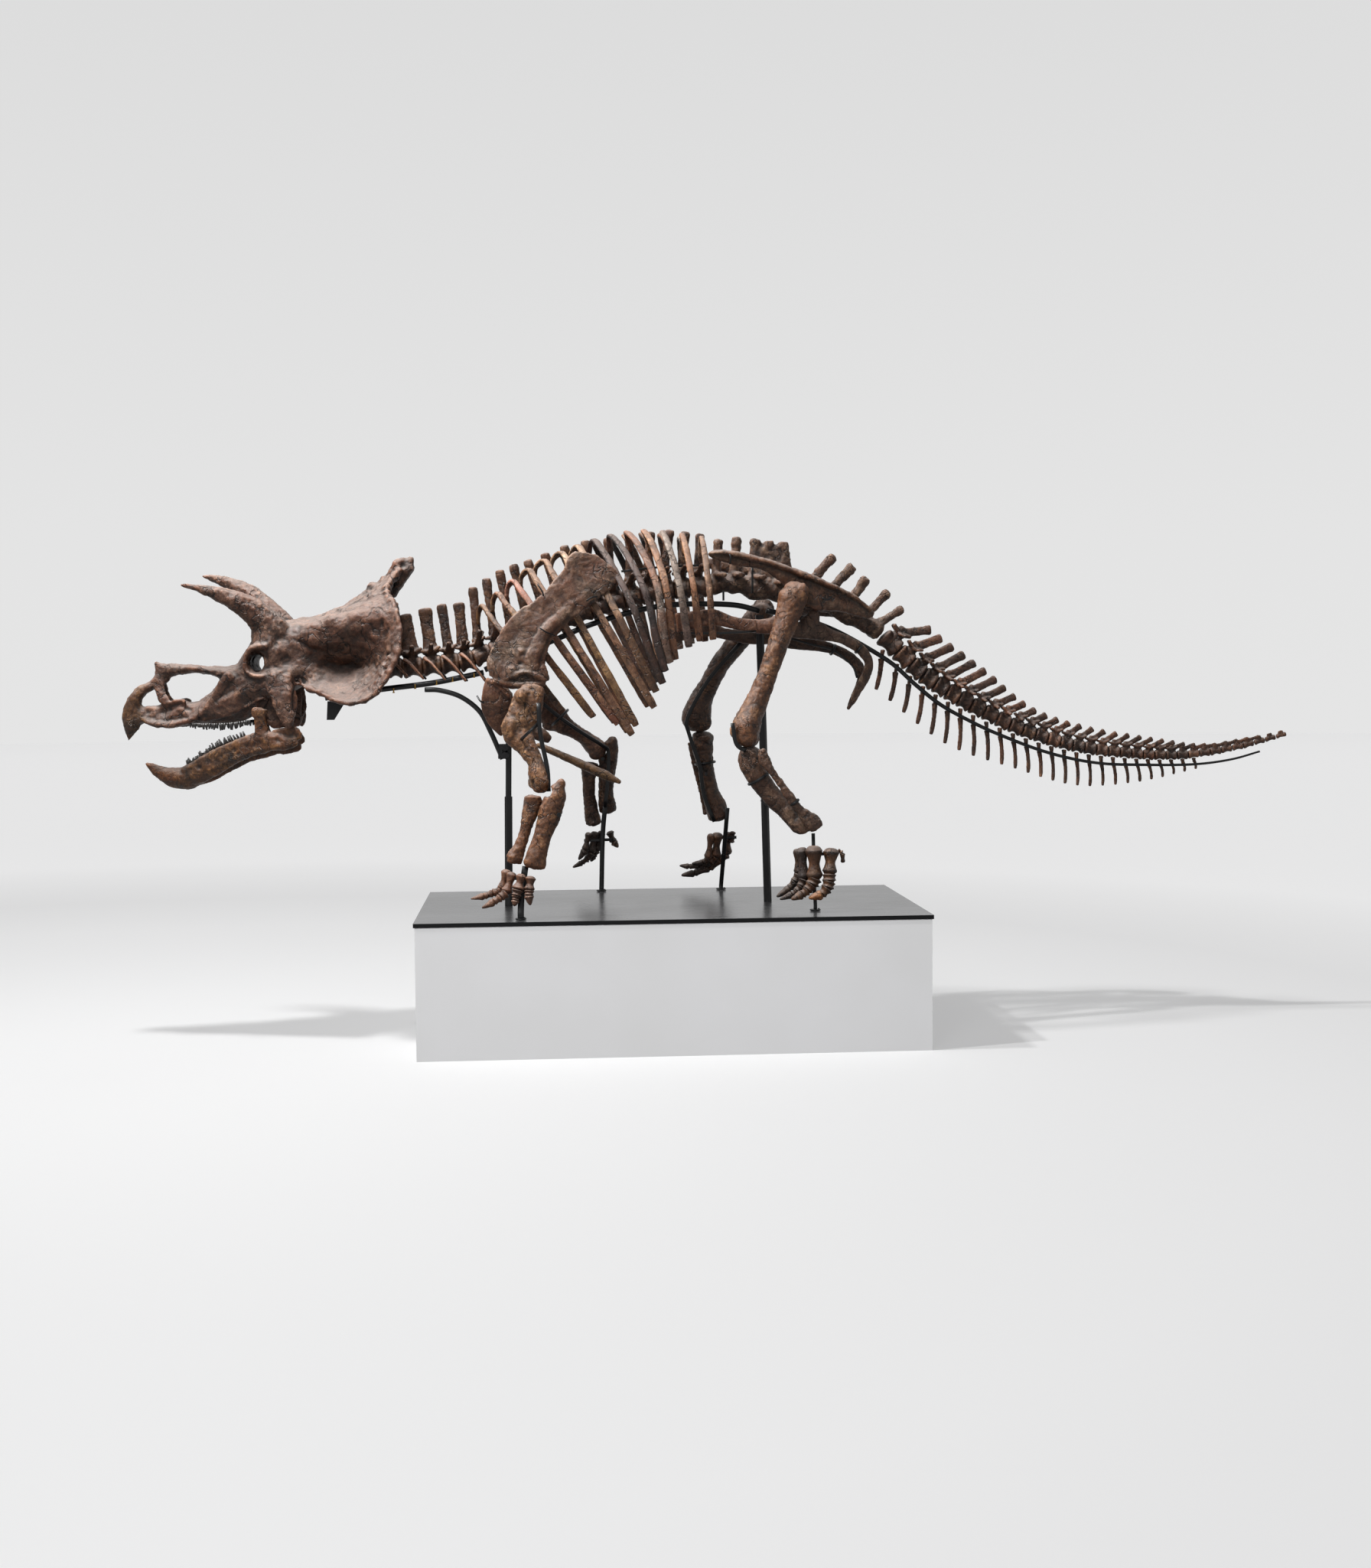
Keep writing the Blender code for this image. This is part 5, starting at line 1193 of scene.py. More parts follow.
for side in (LEFT, RIGHT):
    drop = FAR_HIP_DROP if side == RIGHT else 0.0
    parts = [blade(ILIUM, side), lofted(SHELF, side, sides=14), lofted(SOCKET_RIM, side, sides=12)]
    body = weathered(fused(parts, THICK_SKIN, 2), 0.009, 0.004)
    body.data.transform(Matrix.Translation((0, 0, 0.3 * drop)))
    hips.append(paired("ilium", side, "blade", body))
    body = weathered(fused([blade(PUBIS, side)], 0.004, 2), 0.007, 0.003)
    body.data.transform(Matrix.Translation((0, 0, drop)))
    hips.append(paired("pubis", side, "brown", body))
    body = fused([lofted(ISCHIUM, side, sides=14), lofted(ISCHIUM_NECK, side, sides=14)], 0.004, 2)
    body = weathered(body, 0.006, 0.003)
    body.data.transform(Matrix.Translation((0, 0, drop)))
    hips.append(paired("ischium", side, "hip", body))
counted(hips, "hip bones")

# %% [markdown]
# ## Feet
#
# Each digit is one long bone and a row of short toe bones that ends in a hoof. They are
# separate bones strung on wire, so a thin gap shows between each pair. A toe bone is waisted,
# with a rounded knuckle at its far end. A hoof is flat below and pointed, like a blunt claw.

# %% Toe stations
# Each digit in mm: joints (x, y, z, half width), y from the midline, the hoof's tip last.
TOES = mm({
    ("forefoot", LEFT): [
        [(-598, 385, 664, 16.5), (-620, 388, 595, 11.8), (-650, 390, 583, 11),
         (-681, 392, 573, 8.5), (-727, 394, 565, 3)],
        [(-578, 408, 657, 15.1), (-601, 418, 587, 14), (-622, 424, 571, 12), (-646, 430, 556, 9.5),
         (-687, 438, 537, 3)],
        [(-545, 436, 653, 15.8), (-559, 442, 600, 16.5), (-565, 446, 578, 12.8),
         (-569, 449, 563, 10), (-572, 452, 544, 4)],
        [(-513, 440, 645, 16.4), (-520, 448, 598, 13.6), (-521, 452, 580, 12),
         (-516, 456, 547, 4)]],
    ("hindfoot", LEFT): [
        [(459, 292, 716, 12.5), (468, 286, 627, 14), (456, 284, 596, 14.5), (434, 281, 571, 12),
         (388, 278, 541, 3)],
        [(474, 322, 721, 20.5), (483, 324, 609, 18.5), (472, 325, 583, 15), (455, 326, 564, 12.5),
         (436, 327, 553, 10), (393, 328, 537, 3)],
        [(514, 356, 727, 30), (517, 358, 615, 23.5), (506, 361, 591, 19.5), (489, 364, 571, 16.5),
         (469, 366, 557, 13.5), (431, 368, 541, 4)],
        [(577, 362, 719, 28), (569, 370, 632, 21.5), (568, 374, 605, 20.5), (560, 378, 580, 18.5),
         (538, 381, 557, 14.5), (493, 384, 546, 4)],
        [(602, 356, 716, 7.5), (619, 358, 706, 8.5), (621, 358, 671, 7)]],
    ("forefoot", RIGHT): [
        [(-286, 394, 731, 12.2), (-302, 400, 661, 10.7), (-328, 408, 623, 3)],
        [(-261, 412, 732, 15), (-277, 420, 650, 13.7), (-292, 424, 624, 11), (-315, 428, 608, 8.5),
         (-351, 432, 590, 3)],
        [(-233, 426, 733, 13.8), (-255, 432, 657, 12.3), (-268, 435, 633, 9.2),
         (-279, 438, 612, 4)],
        [(-203, 420, 733, 13.8), (-187, 420, 691, 11), (-169, 422, 669, 5)]],
    ("hindfoot", RIGHT): [
        [(203, 366, 720, 13.6), (193, 384, 622, 13.9), (170, 385, 606, 9.5), (127, 386, 602, 3)],
        [(230, 380, 722, 20.5), (222, 394, 628, 16), (199, 396, 606, 12.5), (155, 398, 590, 10.5),
         (115, 399, 589, 8.5), (78, 400, 593, 3)],
        [(273, 396, 723, 16.8), (270, 408, 637, 15.5), (242, 412, 612, 13), (198, 417, 580, 13),
         (137, 421, 560, 11), (87, 424, 551, 3)],
        [(292, 386, 728, 11), (290, 388, 704, 8.5), (287, 388, 685, 9.5)]]})


def toe_bone(start, end, long_bone):
    """A waisted bone from one joint to the next, with a thin gap left at both ends."""
    a, b = Vector(start[:3]), Vector(end[:3])
    gap = (b - a).normalized() * (0.0022 if long_bone else 0.0016)
    a, b = a + gap, b - gap
    ra, rb = start[3], end[3] * 1.04
    waist = 0.70 * min(ra, rb) if long_bone else 0.86 * min(ra, rb)
    return [(*a, 0.80 * ra, 0.74 * ra), (*a.lerp(b, 0.10), ra, 0.92 * ra),
            (*a.lerp(b, 0.28), 0.5 * (ra + waist), 0.45 * (ra + waist)),
            (*a.lerp(b, 0.52), waist, 0.9 * waist),
            (*a.lerp(b, 0.74), 0.5 * (rb + waist), 0.45 * (rb + waist)),
            (*a.lerp(b, 0.90), rb, 0.94 * rb), (*b, 0.78 * rb, 0.76 * rb)]


def hoof(start, end):
    """A blunt claw from its knuckle to its tip: broad and flattened, then pointed."""
    a, b = Vector(start[:3]), Vector(end[:3])
    a = a + (b - a).normalized() * 0.002
    r = start[3]
    return [(*a, 0.95 * r, 0.90 * r), (*a.lerp(b, 0.14), 1.10 * r, 1.00 * r),
            (*a.lerp(b, 0.34), 1.00 * r, 0.80 * r), (*a.lerp(b, 0.62), 0.92 * r, 0.62 * r),
            (*a.lerp(b, 0.86), 0.66 * r, 0.42 * r), (*b, 0.30 * r, 0.22 * r)]


# %% [markdown]
# ## Feet, digit by digit
#
# A toe bone is a waisted loft with a broad head and foot, and the last one of a digit flattens
# into a hoof. Toes are so small here that voxels would swallow their gaps, so they are not
# remeshed.

# %% Build the feet
POINTED_TIP = 0.0075
TOE_WIDENING = 1.12
foot_bones = []
# The far feet take dark tones: painted shade, as they stand in shade.
# The near hind foot's toe tones are lighter: partly its own orange-brown, partly painted light
# where little lamp light reaches it.
FOOT_LOOK = {("forefoot", LEFT): "brown", ("hindfoot", LEFT): "toe",
             ("forefoot", RIGHT): "dark", ("hindfoot", RIGHT): "spine"}
STOUT = {("forefoot", LEFT): 1.30, ("hindfoot", LEFT): 1.18, ("forefoot", RIGHT): 1.30,
         ("hindfoot", RIGHT): 1.25}
for (foot, side), digits in TOES.items():
    for d, joints in enumerate(digits):
        joints = [(x, y, z, r * STOUT[foot, side] * (TOE_WIDENING if k else 1.0))
                  for k, (x, y, z, r) in enumerate(joints)]
        for k in range(len(joints) - 1):
            if k == len(joints) - 2 and joints[-1][3] < POINTED_TIP:
                rows = hoof(joints[k], joints[k + 1])
            else:
                rows = toe_bone(joints[k], joints[k + 1], k == 0)
            body = lofted(rows, side, sides=14, steps=4, dome=0.35)
            weathered(body, 0.0035, 0.0015, 4)
            look = FOOT_LOOK[foot, side]
            if (foot, side) == ("hindfoot", LEFT) and d < 2:
                look = ("beak", "dark")[d]
            foot_bones.append(finish(body, f"{foot}_{SIDE_NAMES[side]}_{d + 1}_{k + 1}", look,
                                     "limb_bone", foot + "_" + SIDE_NAMES[side]))
counted(foot_bones, "foot bones")

# %% [markdown]
# ## Skull: face and horns
#
# The face is a deep narrow wedge with large openings: one through the beak, one through the
# nose, and the eye sockets, through which one sees the far side. The bars between them are
# thin. Each bar, plate and horn is lofted on its own before the skin is run over all of them.
# The horns have long grooves where blood vessels ran under their sheaths.

# %% Beak, snout and braincase
BEAK = mm([(-2003, 0, 1129, 4, 4), (-1997, 0, 1150, 9, 16), (-1991, 0, 1175, 16, 29),
           (-1985, 0, 1208, 22, 38), (-1982, 0, 1245, 25, 36), (-1973, 0, 1282, 26, 27),
           (-1952, 0, 1312, 26, 22), (-1917, 0, 1332, 25, 18), (-1887, 0, 1350, 23, 23),
           (-1870, 0, 1372, 21, 32)])
SNOUT = mm([(-1968, 0, 1215, 20, 30), (-1930, 0, 1229, 28, 33), (-1895, 0, 1227, 38, 33),
            (-1850, 0, 1227, 48, 46), (-1805, 0, 1232, 58, 50), (-1766, 0, 1228, 66, 43),
            (-1742, 0, 1231, 72, 45), (-1712, 0, 1239, 79, 52), (-1688, 0, 1249, 84, 62),
            (-1665, 0, 1264, 88, 78), (-1640, 0, 1281, 92, 94), (-1600, 0, 1298, 104, 106),
            (-1575, 0, 1320, 114, 122), (-1550, 0, 1346, 124, 134), (-1510, 0, 1385, 136, 146),
            (-1460, 0, 1412, 144, 148), (-1400, 0, 1436, 142, 134), (-1340, 0, 1450, 122, 114),
            (-1290, 0, 1450, 76, 84), (-1250, 0, 1430, 40, 46)])
NASAL = mm([(-1888, 0, 1388, 12, 30), (-1868, 0, 1390, 24, 28), (-1842, 0, 1391, 34, 26),
            (-1800, 0, 1395, 44, 19), (-1750, 0, 1396, 53, 15), (-1700, 0, 1390, 62, 16),
            (-1660, 0, 1382, 72, 22), (-1620, 0, 1374, 84, 32), (-1580, 0, 1372, 96, 46)])
NOSE_HORN = mm([(-1862, 0, 1388, 20, 28), (-1880, 0, 1404, 14, 19), (-1892, 0, 1416, 9, 11),
                (-1901, 0, 1424, 4, 4)])
NOSE_STRUT = mm([(-1887, 14, 1356, 10, 22), (-1879, 20, 1330, 9, 21), (-1870, 26, 1302, 8, 21),
                 (-1860, 34, 1278, 8, 22), (-1846, 42, 1250, 10, 26)])
JAW_LEDGE = mm([(-1940, 26, 1206, 8, 9), (-1895, 42, 1193, 11, 11), (-1850, 53, 1188, 12, 12),
                (-1800, 61, 1196, 12, 12), (-1750, 71, 1212, 11, 12), (-1705, 80, 1240, 10, 13),
                (-1670, 88, 1285, 10, 15), (-1640, 93, 1335, 10, 16), (-1610, 98, 1370, 12, 18)])
NARIS_SILL = mm([(-1862, 38, 1258, 8, 10), (-1828, 46, 1272, 8, 9), (-1796, 52, 1280, 8, 9),
                 (-1778, 56, 1272, 7, 8)])

# %% [markdown]
# ### Rims, cheeks and horns
#
# The rims are thin lofts round the openings, the cheek hangs as a plate from the eye socket,
# and a horn is a long loft that bends, with grooves that run along it.

# %% Eye rims, cheeks and horns
ORBIT_RIM = mm([(-1474, 150, 1474, 18, 12), (-1500, 150, 1474, 19, 12), (-1526, 146, 1463, 20, 12),
                (-1542, 142, 1438, 20, 11), (-1546, 140, 1406, 19, 10), (-1536, 143, 1379, 18, 10),
                (-1512, 150, 1366, 16, 9), (-1478, 156, 1364, 14, 9)])
CHEEK = mm([(-1740, 56, 1222, 14, 24), (-1680, 76, 1238, 16, 32), (-1610, 100, 1258, 18, 40),
            (-1540, 124, 1290, 16, 46), (-1470, 144, 1322, 15, 48), (-1420, 152, 1345, 13, 44)])
JUGAL = mm([(-1500, 1420, -1385, 1430, 122, 10), (-1488, 1380, -1368, 1385, 134, 18),
            (-1474, 1330, -1366, 1336, 148, 20), (-1460, 1295, -1374, 1302, 158, 18),
            (-1444, 1256, -1378, 1262, 164, 14), (-1428, 1215, -1368, 1224, 168, 13),
            (-1406, 1186, -1370, 1194, 170, 10), (-1392, 1172, -1378, 1174, 170, 6)])
QUADRATE = mm([(-1410, 120, 1360, 12, 26), (-1384, 130, 1300, 10, 22), (-1378, 134, 1262, 10, 20),
               (-1386, 136, 1215, 11, 14), (-1396, 136, 1186, 14, 13)])
INNER_CHEEK = mm([(-1540, 1300, -1375, 1330, 100, 10), (-1520, 1250, -1372, 1270, 100, 12),
                  (-1490, 1205, -1376, 1215, 105, 12), (-1455, 1172, -1382, 1176, 110, 10)])
BROW = mm([(-1478, 112, 1440, 30, 50), (-1474, 106, 1490, 38, 56), (-1466, 100, 1535, 42, 56)])
HORNS = mm({
    LEFT: [(-1440, 92, 1512, 46, 64), (-1460, 98, 1543, 45, 60), (-1489, 106, 1577, 42, 53),
           (-1528, 118, 1611, 38, 46), (-1583, 136, 1643, 32, 36), (-1646, 154, 1669, 24, 25.5),
           (-1705, 168, 1686, 15, 14.5), (-1745, 175, 1694, 9, 8), (-1768, 179, 1698, 4, 4)],
    RIGHT: [(-1432, 92, 1530, 46, 60), (-1454, 98, 1562, 45, 53), (-1491, 108, 1604, 42, 46),
            (-1540, 122, 1655, 36, 40), (-1592, 140, 1694, 30, 33), (-1648, 156, 1720, 22, 24),
            (-1702, 168, 1737, 14, 15), (-1735, 175, 1746, 8, 8), (-1753, 179, 1751, 4, 4)]})
face = [lofted(BEAK, sides=20), lofted(SNOUT, sides=28, square=0.86, facing=AXIS_X, dome=0),
        lofted(NASAL, sides=20, square=0.9, facing=AXIS_X), lofted(NOSE_HORN, sides=14)]
for side in (LEFT, RIGHT):
    face += [lofted(NOSE_STRUT, side, sides=12), lofted(JAW_LEDGE, side, sides=12),
             lofted(NARIS_SILL, side, sides=10), lofted(ORBIT_RIM, side, sides=12),
             lofted(CHEEK, side, sides=16), blade(JUGAL, side), blade(INNER_CHEEK, side),
             lofted(QUADRATE, side, sides=12), lofted(BROW, side, sides=20),
             lofted(HORNS[side], side, sides=36, steps=5, flutes=9)]
print("face and horns:", len(face), "lofts")

# %% [markdown]
# ## Frill
#
# The frill is a shield of bone that sweeps back from the skull roof over the neck. A high bar
# runs along its middle, a smooth swelling lies beside it, then comes a deep trough, and the
# lower wing flares out again to a thick, wavy rim. A flat grid takes that form: its rows run
# from the skull to the rim and its columns from one cheek over the top to the other. Solidify
# gives it thickness.

# %% Frill sheet
FRILL_ROOT = mm([(-1430, 0, 1562), (-1425, 60, 1552), (-1415, 105, 1520), (-1405, 128, 1475),
                 (-1395, 138, 1420), (-1390, 142, 1372), (-1385, 144, 1345)])
FRILL_RIM = mm([(-975, 0, 1770), (-1000, 50, 1740), (-1028, 105, 1692), (-1024, 160, 1655),
                (-1000, 205, 1628), (-984, 236, 1585), (-974, 256, 1530), (-978, 270, 1470),
                (-996, 282, 1405), (-1030, 288, 1342), (-1080, 287, 1286), (-1145, 276, 1266),
                (-1205, 258, 1274), (-1262, 232, 1300), (-1305, 205, 1318)])
FRILL_SKEW = 0.050
FRILL_THICKNESS = 0.016


# Depth of the trough and its folds, then where each is and how wide, across and along.
FRILL_HILLS = [(0.110, 0.60, 0.14, 0.58, 0.30), (0.022, 0.42, 0.05, 0.80, 0.20),
               (-0.024, 0.92, 0.10, 0.66, 0.28)]


def sampled(line, shares):
    fine = smooth_rows(line, 12)
    places = np.linspace(0.0, 1.0, len(fine))
    return np.stack([np.interp(shares, places, fine[:, k]) for k in range(3)], axis=-1)


def hill(value, centre, width):
    return np.exp(-((value - centre) / width) ** 2)


def frill_points(s, t, side):
    """Places on the frill: s runs from skull to rim, t from the middle to the cheek."""
    start, end = sampled(FRILL_ROOT, t), sampled(FRILL_RIM, t)
    point = start + (end - start) * s[:, None]
    arc = np.sin(np.pi * np.clip(s, 0.0, 1.0))
    dip = 0.046 * arc - 0.052 * arc * hill(t, 0.34, 0.14)
    for height, t_centre, t_width, s_centre, s_width in FRILL_HILLS:
        dip = dip + height * hill(t, t_centre, t_width) * hill(s, s_centre, s_width)
    dip = dip * np.clip(8.0 * (1.0 - s), 0.0, 1.0)
    lean = np.clip(1.6 * t, 0.0, 1.0) * (math.pi / 2)
    point[:, 1] -= dip * np.sin(lean)
    point[:, 2] -= dip * np.cos(lean)
    if side == RIGHT:
        point[:, 0] -= FRILL_SKEW * s * np.clip(1.6 * t, 0.0, 1.0)
    point[:, 1] = np.maximum(point[:, 1], 0.0) * side
    return point


def frill_sheet(columns=132, rows=64):
    sheet = added(bpy.ops.mesh.primitive_grid_add, x_subdivisions=rows, y_subdivisions=columns,
                  size=2.0)
    flat = coordinates(sheet.data)
    s, across = 0.5 + 0.5 * flat[:, 0], flat[:, 1]
    place = np.empty_like(flat)
    for side in (LEFT, RIGHT):
        here = across >= 0 if side == RIGHT else across < 0
        place[here] = frill_points(s[here], np.abs(across[here]), side)
    sheet.data.vertices.foreach_set("co", place.ravel())
    sheet.data.update()
    thick = sheet.modifiers.new("thickness", "SOLIDIFY")
    thick.thickness = FRILL_THICKNESS
    thick.offset = 0.0
    return apply_modifiers(sheet)


frill = [frill_sheet()]
print("frill sheet:", len(frill[0].data.polygons), "faces")

# %% [markdown]
# The rim is a roll of bone that swells and shrinks as it goes, and it ends at the top in a
# thick folded crest. More rolls lie along the frill's ridges. They are lofts that follow the
# same formula as the sheet, so they always lie in its surface.

# %% Rolls along the rim and the crest


def roll(s, t, side, widths, count=26):
    """A rounded roll of bone laid along the frill through pairs of s and t."""
    even = np.linspace(0, 1, count)
    s, t, radius = (np.interp(even, np.linspace(0, 1, len(v)), v) for v in (s, t, widths))
    wave = 1.0 + 0.20 * np.sin(np.arange(count) * 1.9) + 0.12 * np.sin(np.arange(count) * 4.3)
    return lofted([(x, y, z, r * w, r * w * 0.8)
                   for (x, y, z), r, w in zip(frill_points(s, t, side), radius, wave)],
                  RIGHT, sides=12, steps=2)


FRILL_MIDDLE = mm([(-1440, 0, 1556, 70, 20), (-1330, 0, 1550, 44, 20), (-1240, 0, 1582, 28, 22),
                   (-1160, 0, 1630, 26, 22), (-1088, 0, 1676, 28, 26), (-1050, 0, 1700, 26, 26)])
FRILL_CREST = mm([(-1035, 0, 1672, 26, 32), (-1012, 0, 1715, 31, 36), (-990, 0, 1752, 34, 38),
                  (-972, 0, 1780, 30, 38), (-966, 0, 1792, 20, 28)])
CREST_LUMPS = mm([((-1090, 0, 1696), (24, 26, 22)), ((-1052, 0, 1722), (16, 22, 18)),
                  ((-950, 0, 1792), (14, 20, 18))])
for side in (LEFT, RIGHT):
    frill += [roll([1.0, 1.0], [0.0, 0.28], side, [0.022, 0.020, 0.018, 0.014]),
              roll([1.0, 1.0], [0.28, 0.62], side, [0.013, 0.010, 0.013, 0.011]),
              roll([1.0, 1.0], [0.62, 1.0], side, [0.011, 0.013, 0.011, 0.013, 0.014]),
              roll([0.0, 0.55, 1.0], [0.84, 0.78, 0.68], side, [0.012, 0.010, 0.006]),
              roll([0.0, 0.4, 1.0], [1.0, 1.0, 1.0], side, [0.016, 0.012, 0.012])]
frill += [lofted(FRILL_MIDDLE, sides=16), lofted(FRILL_CREST, sides=18, square=0.75)]
frill += [ball(*lump) for lump in CREST_LUMPS]
print("frill:", len(frill), "parts")

# %% [markdown]
# ## Skin of the skull
#
# One skin runs over face and frill. Then the eye sockets are cut right through, and pits,
# muscle scars and swellings are pressed in: the pocket under the nose, the hollow of the
# cheek, the scars below the eye, the fold in the crest, and the frill's bumps and long cracks.

# %% Build the skull
skull = fused(face + frill, 0.005, 3)
HOLLOWS = mm([(-1925, 36, 1240, 20, -14), (-1872, 52, 1238, 22, -18), (-1846, 50, 1248, 16, -12),
              (-1770, 70, 1252, 15, -18), (-1735, 83, 1262, 16, -12), (-1640, 110, 1250, 36, -10),
              (-1560, 135, 1265, 40, -22), (-1500, 152, 1272, 36, -26),
              (-1395, 150, 1425, 30, -14), (-1350, 150, 1345, 26, -18), (-1590, 105, 1440, 16, -8),
              (-995, 30, 1745, 15, -18), (-978, 28, 1772, 13, -16), (-1020, 32, 1705, 12, -10)])
SWELLINGS = mm([(-1610, 105, 1360, 30, 7), (-1552, 130, 1345, 18, 8), (-1820, 52, 1228, 16, 6),
                (-1085, 20, 1690, 12, 10), (-1008, 20, 1785, 10, 6), (-945, 20, 1760, 12, 8)])
SCAR_LINES = mm([([(-1455, 150, 1500), (-1452, 162, 1430), (-1440, 172, 1350)], 16, 9),
                 ([(-1800, 62, 1214), (-1700, 84, 1216), (-1600, 108, 1222)], 10, -6)])
CRACKS = mm([
    [(-1330, 60, 1560), (-1240, 80, 1560), (-1150, 100, 1590)],
    [(-1300, 110, 1500), (-1210, 140, 1510), (-1100, 170, 1560), (-1040, 200, 1580)],
    [(-1200, 50, 1600), (-1130, 60, 1640), (-1070, 70, 1680)],
    [(-1040, 220, 1560), (-1060, 230, 1480), (-1020, 250, 1400)],
    [(-1120, 260, 1330), (-1060, 270, 1390), (-1010, 260, 1460)],
    [(-1230, 240, 1320), (-1160, 260, 1345), (-1100, 270, 1330)],
    [(-1400, 140, 1540), (-1390, 150, 1450), (-1400, 155, 1380)],
    [(-1360, 130, 1500), (-1290, 140, 1450), (-1260, 150, 1400)],
    [(-1030, 240, 1440), (-995, 270, 1420)],
    [(-1060, 260, 1400), (-1010, 280, 1370)]])
FOLDS = mm([
    [(-1250, 235, 1330), (-1160, 250, 1375), (-1080, 255, 1440), (-1030, 255, 1500)],
    [(-1320, 90, 1540), (-1220, 100, 1555), (-1120, 120, 1610)]])
# Radius, height and count of the presses along each crack and each fold.
CRACK_PRESS, FOLD_PRESS = (0.0075, -0.0085, 30), (0.016, 0.0060, 16)
BUMP_COUNT, BUMP_RADIUS, SCAR_COUNT = 44, 0.021, 12
random = np.random.default_rng(5)
s, t = random.uniform(0.12, 0.92, BUMP_COUNT), random.uniform(0.06, 0.52, BUMP_COUNT)
heights = random.uniform(-0.007, 0.010, BUMP_COUNT)
strokes = HOLLOWS + SWELLINGS
for line, radius, height in SCAR_LINES:
    strokes += stroke(line, radius, height)
for line in CRACKS:
    strokes += stroke(line, *CRACK_PRESS)
strokes += [(*point, BUMP_RADIUS, height)
            for point, height in zip(frill_points(s, t, RIGHT), heights)]
for line in FOLDS:
    strokes += stroke(line, *FOLD_PRESS)
for i in range(SCAR_COUNT):
    strokes.append((-1.555 + 0.011 * i, 0.138 + 0.002 * i, 1.340 - 0.016 * (i % 3), 0.006, -0.007))
brushed(skull, strokes)
SOCKET_TUNNEL = mm([(-1512, -260, 1417, 27, 32), (-1508, 260, 1417, 27, 32)])
sockets = [ball((-1.506, 0.180, 1.417), (0.031, 0.120, 0.043), side) for side in (LEFT, RIGHT)]
sockets.append(lofted(SOCKET_TUNNEL, sides=24, across=AXIS_X, steps=2, dome=0))
skull = weathered(fused([cut_by(skull, sockets)], 0.0048, 1), 0.012, 0.005)
finish(skull, "skull_bone", "skull", "skull_bone", "skull", "brow_horn_left", "brow_horn_right")
print("skull:", len(skull.data.polygons), "faces")

# %% [markdown]
# The horny sheath of the beak stained the bone under it, so it is darker there. The faces in
# front of a wavy line take a second material, which keeps the skin in one piece.

# %% Colour the beak
SHEATH_EDGE, EDGE_WAVE = -1.938, 0.012
skull.data.materials.append(LOOKS["beak"])
for polygon in skull.data.polygons:
    if polygon.center.x < SHEATH_EDGE + EDGE_WAVE * math.sin(90 * polygon.center.z):
        polygon.material_index = 1

# %% [markdown]
# ## Lower jaw
#
# A horned dinosaur's jaw is two long blades that meet in a beak. Near the back a tall prong,
# the coronoid, stands up for the bite muscle, and its rough top is paler than the rest. The
# far blade hangs a little lower than the near one, as it was mounted.

# %% Jaw stations
JAW_BEAK = mm([(-1938, 0, 1046, 3, 4), (-1922, 0, 1034, 8, 14), (-1898, 0, 1018, 14, 23),
               (-1860, 0, 999, 24, 33), (-1820, 0, 990, 32, 40), (-1785, 0, 991, 37, 43),
               (-1745, 0, 1006, 41, 40), (-1715, 0, 1018, 34, 30)])
JAW_SIDE = mm([(-1790, 18, 996, 15, 38), (-1740, 34, 1015, 18, 45), (-1690, 52, 1042, 19, 46),
               (-1640, 70, 1068, 19, 43), (-1590, 88, 1092, 18, 40), (-1540, 105, 1111, 18, 41),
               (-1490, 120, 1124, 18, 41), (-1450, 132, 1126, 17, 34), (-1415, 142, 1122, 16, 28),
               (-1385, 146, 1122, 14, 23), (-1368, 146, 1127, 11, 18)])
JAW_REAR = mm([(-1448, 126, 1142, 12, 30), (-1405, 130, 1150, 14, 30), (-1382, 132, 1156, 14, 28),
               (-1364, 134, 1148, 12, 20), (-1356, 134, 1136, 8, 12)])
CORONOID = mm([(-1488, 124, 1135, 11, 40), (-1494, 127, 1170, 9, 26), (-1497, 129, 1205, 9, 21),
               (-1499, 130, 1228, 12, 30), (-1499, 130, 1245, 11, 28), (-1498, 130, 1252, 6, 14)])
JAW_KEEL = mm([(-1700, 64, 1022, 4, 6), (-1620, 92, 1056, 4, 6), (-1540, 118, 1088, 4, 7),
               (-1450, 142, 1108, 5, 7), (-1390, 152, 1116, 5, 7)])
FAR_DROP = 0.024


def hung(rows, side):
    """Lets the far blade of the jaw hang lower and end sooner towards the back."""
    drop = FAR_DROP if side == RIGHT else 0.0
    shares = [min(1.0, max(0.0, (row[0] + 1.80) / 0.15)) for row in rows]
    return [(x - drop * f, y, z - drop * f, w, d) for f, (x, y, z, w, d) in zip(shares, rows)]


# %% [markdown]
# ### Lower jaw
#
# The beak, the two blades with their keels and the two prongs are lofted, and one skin runs
# over them. A groove and a few pits are pressed into it.

# %% Build the lower jaw
parts = [lofted(JAW_BEAK, sides=20)]
for side in (LEFT, RIGHT):
    parts += [lofted(hung(rows, side), side, sides=16, square=0.8)
              for rows in (JAW_SIDE, JAW_REAR, CORONOID, JAW_KEEL)]
jaw = fused(parts, 0.0040, 2)
JAW_GROOVE = mm([(-1700, 75, 1050), (-1600, 110, 1095), (-1500, 140, 1120)])
JAW_PITS = mm([(-1800, 45, 1010, 8, -6), (-1770, 48, 1022, 8, -6), (-1735, 55, 1030, 8, -6),
               (-1430, 150, 1130, 14, -8)])
brushed(jaw, stroke(JAW_GROOVE, 0.010, -0.004) + JAW_PITS)
weathered(jaw, 0.009, 0.004)
finish(jaw, "lower_jaw_bone", "jaw", "skull_bone", "lower_jaw")
print("lower jaw:", len(jaw.data.polygons), "faces")

